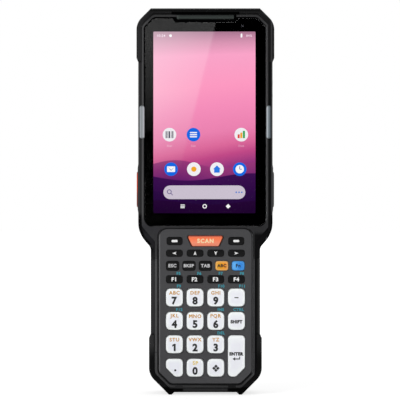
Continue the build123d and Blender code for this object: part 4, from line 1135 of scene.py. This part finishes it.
angle = np.linspace(-math.pi, math.pi, rays, endpoint=False)
edge_flat = from_middle(window_flat, window_middle, angle)
inward = window_middle - edge_flat
inward /= np.linalg.norm(inward, axis=1, keepdims=True)
glass_rings = [
    at_depth(edge_flat, glass_back),
    at_depth(edge_flat, glass_front + glass_edge),
    at_depth(edge_flat + inward * glass_edge, glass_front),
    at_depth(window_middle + (edge_flat - window_middle) * 0.5, glass_front),
]
glass = ring_piece("window_glass", glass_rings, glass_paint.made, 20)
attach(glass, "terminal")
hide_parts("touch_window")

screen_corners = rectangle(screen_half, (screen_high - screen_low) / 2, 0.3 * MM)
opening = rounded_outline(screen_corners, 4, 40)[0] + screen_middle
opening_flat = from_middle(opening, window_middle, angle)
border_flat = edge_flat + inward * print_inset
print_front, print_back = glass_back + 0.02 * MM, glass_back + 0.05 * MM
print_loops = [
    at_depth(border_flat, print_back),
    at_depth(border_flat, print_front),
    at_depth(opening_flat, print_front),
    at_depth(opening_flat, print_back),
]
border = loops_piece("window_print", print_loops, black.made)
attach(border, "terminal")
print("glass and print made")


# %% The camera behind the glass
def out_from(paint, x, z):
    """How far the shaded point lies from the line through (x, z) that runs along Y."""
    legs = [paint.math("SUBTRACT", paint.at(axis), at) for axis, at in (("X", x), ("Z", z))]
    squares = [paint.math("POWER", leg, 2.0) for leg in legs]
    return paint.math("SQRT", paint.math("ADD", *squares))


camera_x, camera_z = face_of("front_camera")[0]
pupil_radius = 1.35
deep = material("lens_deep")
# Painted highlight: the pupil is grey at its middle and black at its edge.
pupil_highlight = "0 #626268, 0.5 #505056, 0.8 #2c2c30, 1.0 #0c0c0e, 1.3 #020203"
rings = deep.ramp(out_from(deep, camera_x, camera_z + 0.1 * MM), pupil_highlight)
deep.coat(Base_Color=rings, Roughness=0.3, Specular_IOR_Level=0.0)
pupil = shapes_mesh([disc(0, 0, pupil_radius)])
lay_on(pupil, camera_x, camera_z, level_at(glass_back + 0.01 * MM), 0.005 * MM)
printed("camera_pupil", pupil, deep.made, "terminal")
print("camera pupil at", round(camera_x / MM, 1), round(camera_z / MM, 1), "mm")

# %% [markdown]
# ## The rear lens
# A phone-type camera shows a small dark dome inside its ring. Its colour is painted: near
# black, with a blue-violet band part of the way out that stands for the coatings' reflection.
# The dome is a stack of rings again, and this time the crown faces the back.

# %% The dome in the rear ring
dome_radius = 2.15 * MM
dome_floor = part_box("rear_camera")[1].y - 0.98 * MM
dome_edge, dome_crown = 0.35 * MM, 0.5 * MM
rear_x, rear_z = face_of("rear_camera")[0]
coated = material("lens_coated")
# Painted reflection: the blue-violet band of the coatings, part of the way out.
coating = coated.ramp(
    out_from(coated, rear_x, rear_z),
    "0 #020203, 0.5 #05060c, 0.8 #101a3c, 1.1 #1c1438, 1.5 #08080c, 2.2 #030304",
)
coated.coat(Base_Color=coating, Roughness=0.04, Coat_Weight=0.5)
dome = []
for way_out in np.linspace(0.1, 1.0, 8):
    rise = dome_edge + dome_crown * (1 - way_out**2)
    dome.append(at_depth(disc(rear_x, rear_z, dome_radius * way_out, 48), dome_floor + rise))
dome.append(dome[-1] - [0, dome_edge, 0])
lens_dome = ring_piece("rear_lens", dome, coated.made)
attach(lens_dome, "terminal")
print("rear lens at", round(rear_x / MM, 1), round(rear_z / MM, 1), "mm")

# %% The picture on the screen
lit_level = 1.05
screen_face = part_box("display_module")[0].y
sky_tones = (
    "0 #aa7892, 0.06 #d895b3, 0.13 #fba5ca, 0.3 #ff9bc3, 0.42 #f78fbc, 0.56 #ec82b1, "
    "0.64 #dd6a9c, 0.7 #c24a88, 0.8 #7c2a78"
)
wave_layers = (  # height of the crest, swing, waves across, shift, colours at crest and below
    (0.730, 0.022, 1.1, 0.4, "#973878", "#68206c"),
    (0.800, 0.020, 0.8, 2.4, "#3c1050", "#2c0a44"),
    (0.870, 0.018, 1.3, 4.4, "#2c0b44", "#220838"),
    (0.940, 0.012, 0.9, 1.2, "#240634", "#1a0328"),
)
wave_depth = 0.11
screen = material("screen_panel")
from_side = screen.math("SUBTRACT", screen.at("X"), screen_across)
across = screen.math("DIVIDE", from_side, 2 * screen_half)
span = screen_high - screen_low
down = screen.line(screen.at("Z"), -1 / span, screen_high / span)
tilt = screen.math("MULTIPLY", down, screen.line(across, 0.16, 1.0))
picture = screen.ramp(tilt, sky_tones, 1.0)
for crest, swing, count, shift, top_code, low_code in wave_layers:
    phase = screen.line(across, 2 * math.pi * count, shift)
    height = screen.line(screen.math("SINE", phase), swing, crest)
    below = screen.math("SUBTRACT", down, height)
    wave = screen.mix(screen.share(below, 0.0, wave_depth), top_code, low_code)
    picture = screen.mix(screen.share(below, -0.002, 0.002), picture, wave)
# Painted reflection: left of the glass streak's edge the picture turns paler, from 128 mm up and most
# on the left.
past_edge = screen.line(screen.at("Z"), -streak_lean, screen.at("X"))
edge_here = streak_x / MM - streak_lean * streak_z / MM
streak_in_picture = screen.where(
    "Z 128 172",
    screen.line(screen.past("X", 0.0, -28), 0.13, 0.07),
    screen.past(past_edge, edge_here + 1.5, edge_here - 0.5),
)
picture = screen.mix(streak_in_picture, picture, white)
side = screen.math("ABSOLUTE", from_side)
lit_wide = screen.math("LESS_THAN", side, screen_half + 0.3 * MM)
lit_deep = screen.math("LESS_THAN", screen.at("Y"), screen_face + 0.1 * MM)
picture = screen.mix(screen.math("MULTIPLY", lit_wide, lit_deep), (0, 0, 0, 1), picture)


def light_up(paint, colour, rough=0.5):
    """Makes a material shine in a colour, over a skin that hardly takes light."""
    paint.coat(Base_Color=(0.0005, 0.0005, 0.0005, 1), Roughness=rough, Specular_IOR_Level=0.0)
    return paint.coat(Emission_Color=colour, Emission_Strength=lit_level)


nodes["display_module"].data.materials.clear()
nodes["display_module"].data.materials.append(light_up(screen, picture, 0.3))
print("wave layers:", len(wave_layers))

# %% Marks on the screen
layer_step = 0.016  # mm from one layer of marks to the next
mark_lift = 0.006 * MM


def lamp_ink(name, code):
    """A lit colour of the screen, with the faint fall-off of its backlight."""
    paint = material(name)
    return light_up(paint, faded(paint, code, 25.0, 0.93))


def lay_screen(name, code, mesh, x, z, rise):
    """Lays lit marks on the screen with their middle at x, z and rise mm in front of it."""
    name = "screen_" + name
    lay_on(mesh, x * MM, z * MM, level_at(screen_face - rise * MM), mark_lift)
    printed(name, mesh, lamp_ink(name, code), "terminal")


def ring_parts(x, z, radius, width, parts=24):
    """A ring as short trapezoids, so that each is a simple outline."""
    a = np.linspace(0, 2 * math.pi, parts + 1)
    rim = np.stack([np.cos(a), np.sin(a)], 1)
    ends = (radius - width, radius)
    pairs = zip(rim[:-1], rim[1:])
    return [np.array([s * ends[0], s * ends[1], e * ends[1], e * ends[0]]) + (x, z) for s, e in pairs]


def bars(x, z, rows, radius=0.05):
    """Several rounded bars from (x, z, half width, half height), round a common middle."""
    return [bar(x + dx, z + dz, wide, high, radius) for dx, dz, wide, high in rows]


icon_radius = 3.9
status_z, upper_z, dock_z, bar_z, foot_z, name_z = 204.8, 148.3, 128.6, 115.4, 107.4, 142.0
code_x, list_x, chart_x = -20.5, -6.8, 20.5
mail_x, sun_x, house_x, clock_x = -19.6, -6.6, 6.6, 19.6
white_at = ((code_x, upper_z), (chart_x, upper_z), (house_x, dock_z), (sun_x, dock_z))
blue_at = ((list_x, upper_z), (mail_x, dock_z), (clock_x, dock_z))
lines = [(0, rise, 2.0, 0.32) for rise in (1.2, 0.0, -1.2)]
menu = [(0, rise, 1.2, 0.22) for rise in (0.8, 0.0, -0.8)]
strokes = ((-1.9, 0.28), (-1.0, 0.15), (-0.1, 0.4), (1.0, 0.15), (1.9, 0.3))
white_marks = bars(list_x, upper_z, lines)
white_marks += [bar(mail_x, dock_z, 2.3, 1.6, 0.3), disc(clock_x, dock_z, 2.4)]
white_marks += bars(-13.0, foot_z, menu, 0.1)
white_marks += [turned(bar(0, 0, 0.95, 0.95, 0.1), 45) + (13.0, foot_z)]
white_marks += ring_parts(-0.4, foot_z, 1.25, 0.5)
white_marks += [bar(20.6, status_z, 0.5, 1.0, 0.15), bar(20.6, status_z + 1.15, 0.22, 0.15)]
white_marks += [disc(-19.9, status_z, 0.8)]
blue_marks = bars(clock_x, dock_z, [(0, 0.8, 0.2, 0.9), (0.6, 0, 0.7, 0.2)])
blue_marks += [np.array([(-2.0, 1.3), (0.0, -0.4), (2.0, 1.3), (0.0, -0.9)]) + (mail_x, dock_z)]
house = [(-2.2, 0), (-1.6, 0), (-1.6, -2.0), (1.6, -2.0), (1.6, 0), (2.2, 0), (0, 2.2)]
find_mark = ring_parts(-20.6, bar_z + 0.3, 1.35, 0.45)
find_mark += [turned(bar(0, 0, 0.75, 0.22), -45) + (-19.2, bar_z - 1.1)]
amber_marks = [bar(chart_x, upper_z - 0.4, 0.6, 1.6), disc(sun_x, dock_z, 1.5)]
screen_art = (  # name, colour, layer, outlines
    ("white_discs", "#f6f4f8", 0, [disc(x, z, icon_radius) for x, z in white_at]),
    ("blue_discs", "#166ae6", 0, [disc(x, z, icon_radius) for x, z in blue_at]),
    ("bar", "#cfc5d4", 0, [bar(-0.6, bar_z, 23.4, 3.9, 3.88)]),
    ("white_marks", "#ffffff", 1, white_marks),
    ("blue_marks", "#1d4fae", 2, blue_marks),
    ("dark_marks", "#33304a", 1, bars(code_x, upper_z, [(x, 0, w, 2.0) for x, w in strokes], 0.02)),
    ("red_marks", "#e2483c", 1, [bar(19.0, upper_z - 0.9, 0.6, 1.1)]),
    ("amber_marks", "#f5a92a", 1, amber_marks),
    ("green_marks", "#38a85a", 1, [bar(22.0, upper_z + 0.1, 0.6, 2.1)]),
    ("house", "#2f7be6", 1, [np.array(house) + (house_x, dock_z)]),
    ("find_mark", "#6a6090", 1, find_mark),
    ("dots", "#4a7ad0", 1, [disc(x, bar_z, 0.45) for x in (17.6, 19.2, 20.8)]),
)
screen_words = {  # words, capital height, x and z of their middle, colour
    "clock": ("10:24", 1.5, -25.2, status_z, "#fff0fa"),
    "charge": ("84%", 1.4, 25.0, status_z, "#f8dcec"),
    "name_scan": ("Scan", 1.15, code_x, name_z, "#f6c0d8"),
    "name_list": ("List", 1.15, list_x, name_z, "#f2b4d0"),
    "name_data": ("Data", 1.15, chart_x, name_z, "#eaa6c8"),
}
for name, code, layer, outlines in screen_art:
    lay_screen(name, code, shapes_mesh(outlines), 0, 0, 0.01 + layer * layer_step)
for name, (words, height, x, z, code) in screen_words.items():
    lay_screen(name, code, lettering(words, height, 0.02, 1.1), x, z, 0.02)
print("screen marks laid:", len(screen_art) + len(screen_words))
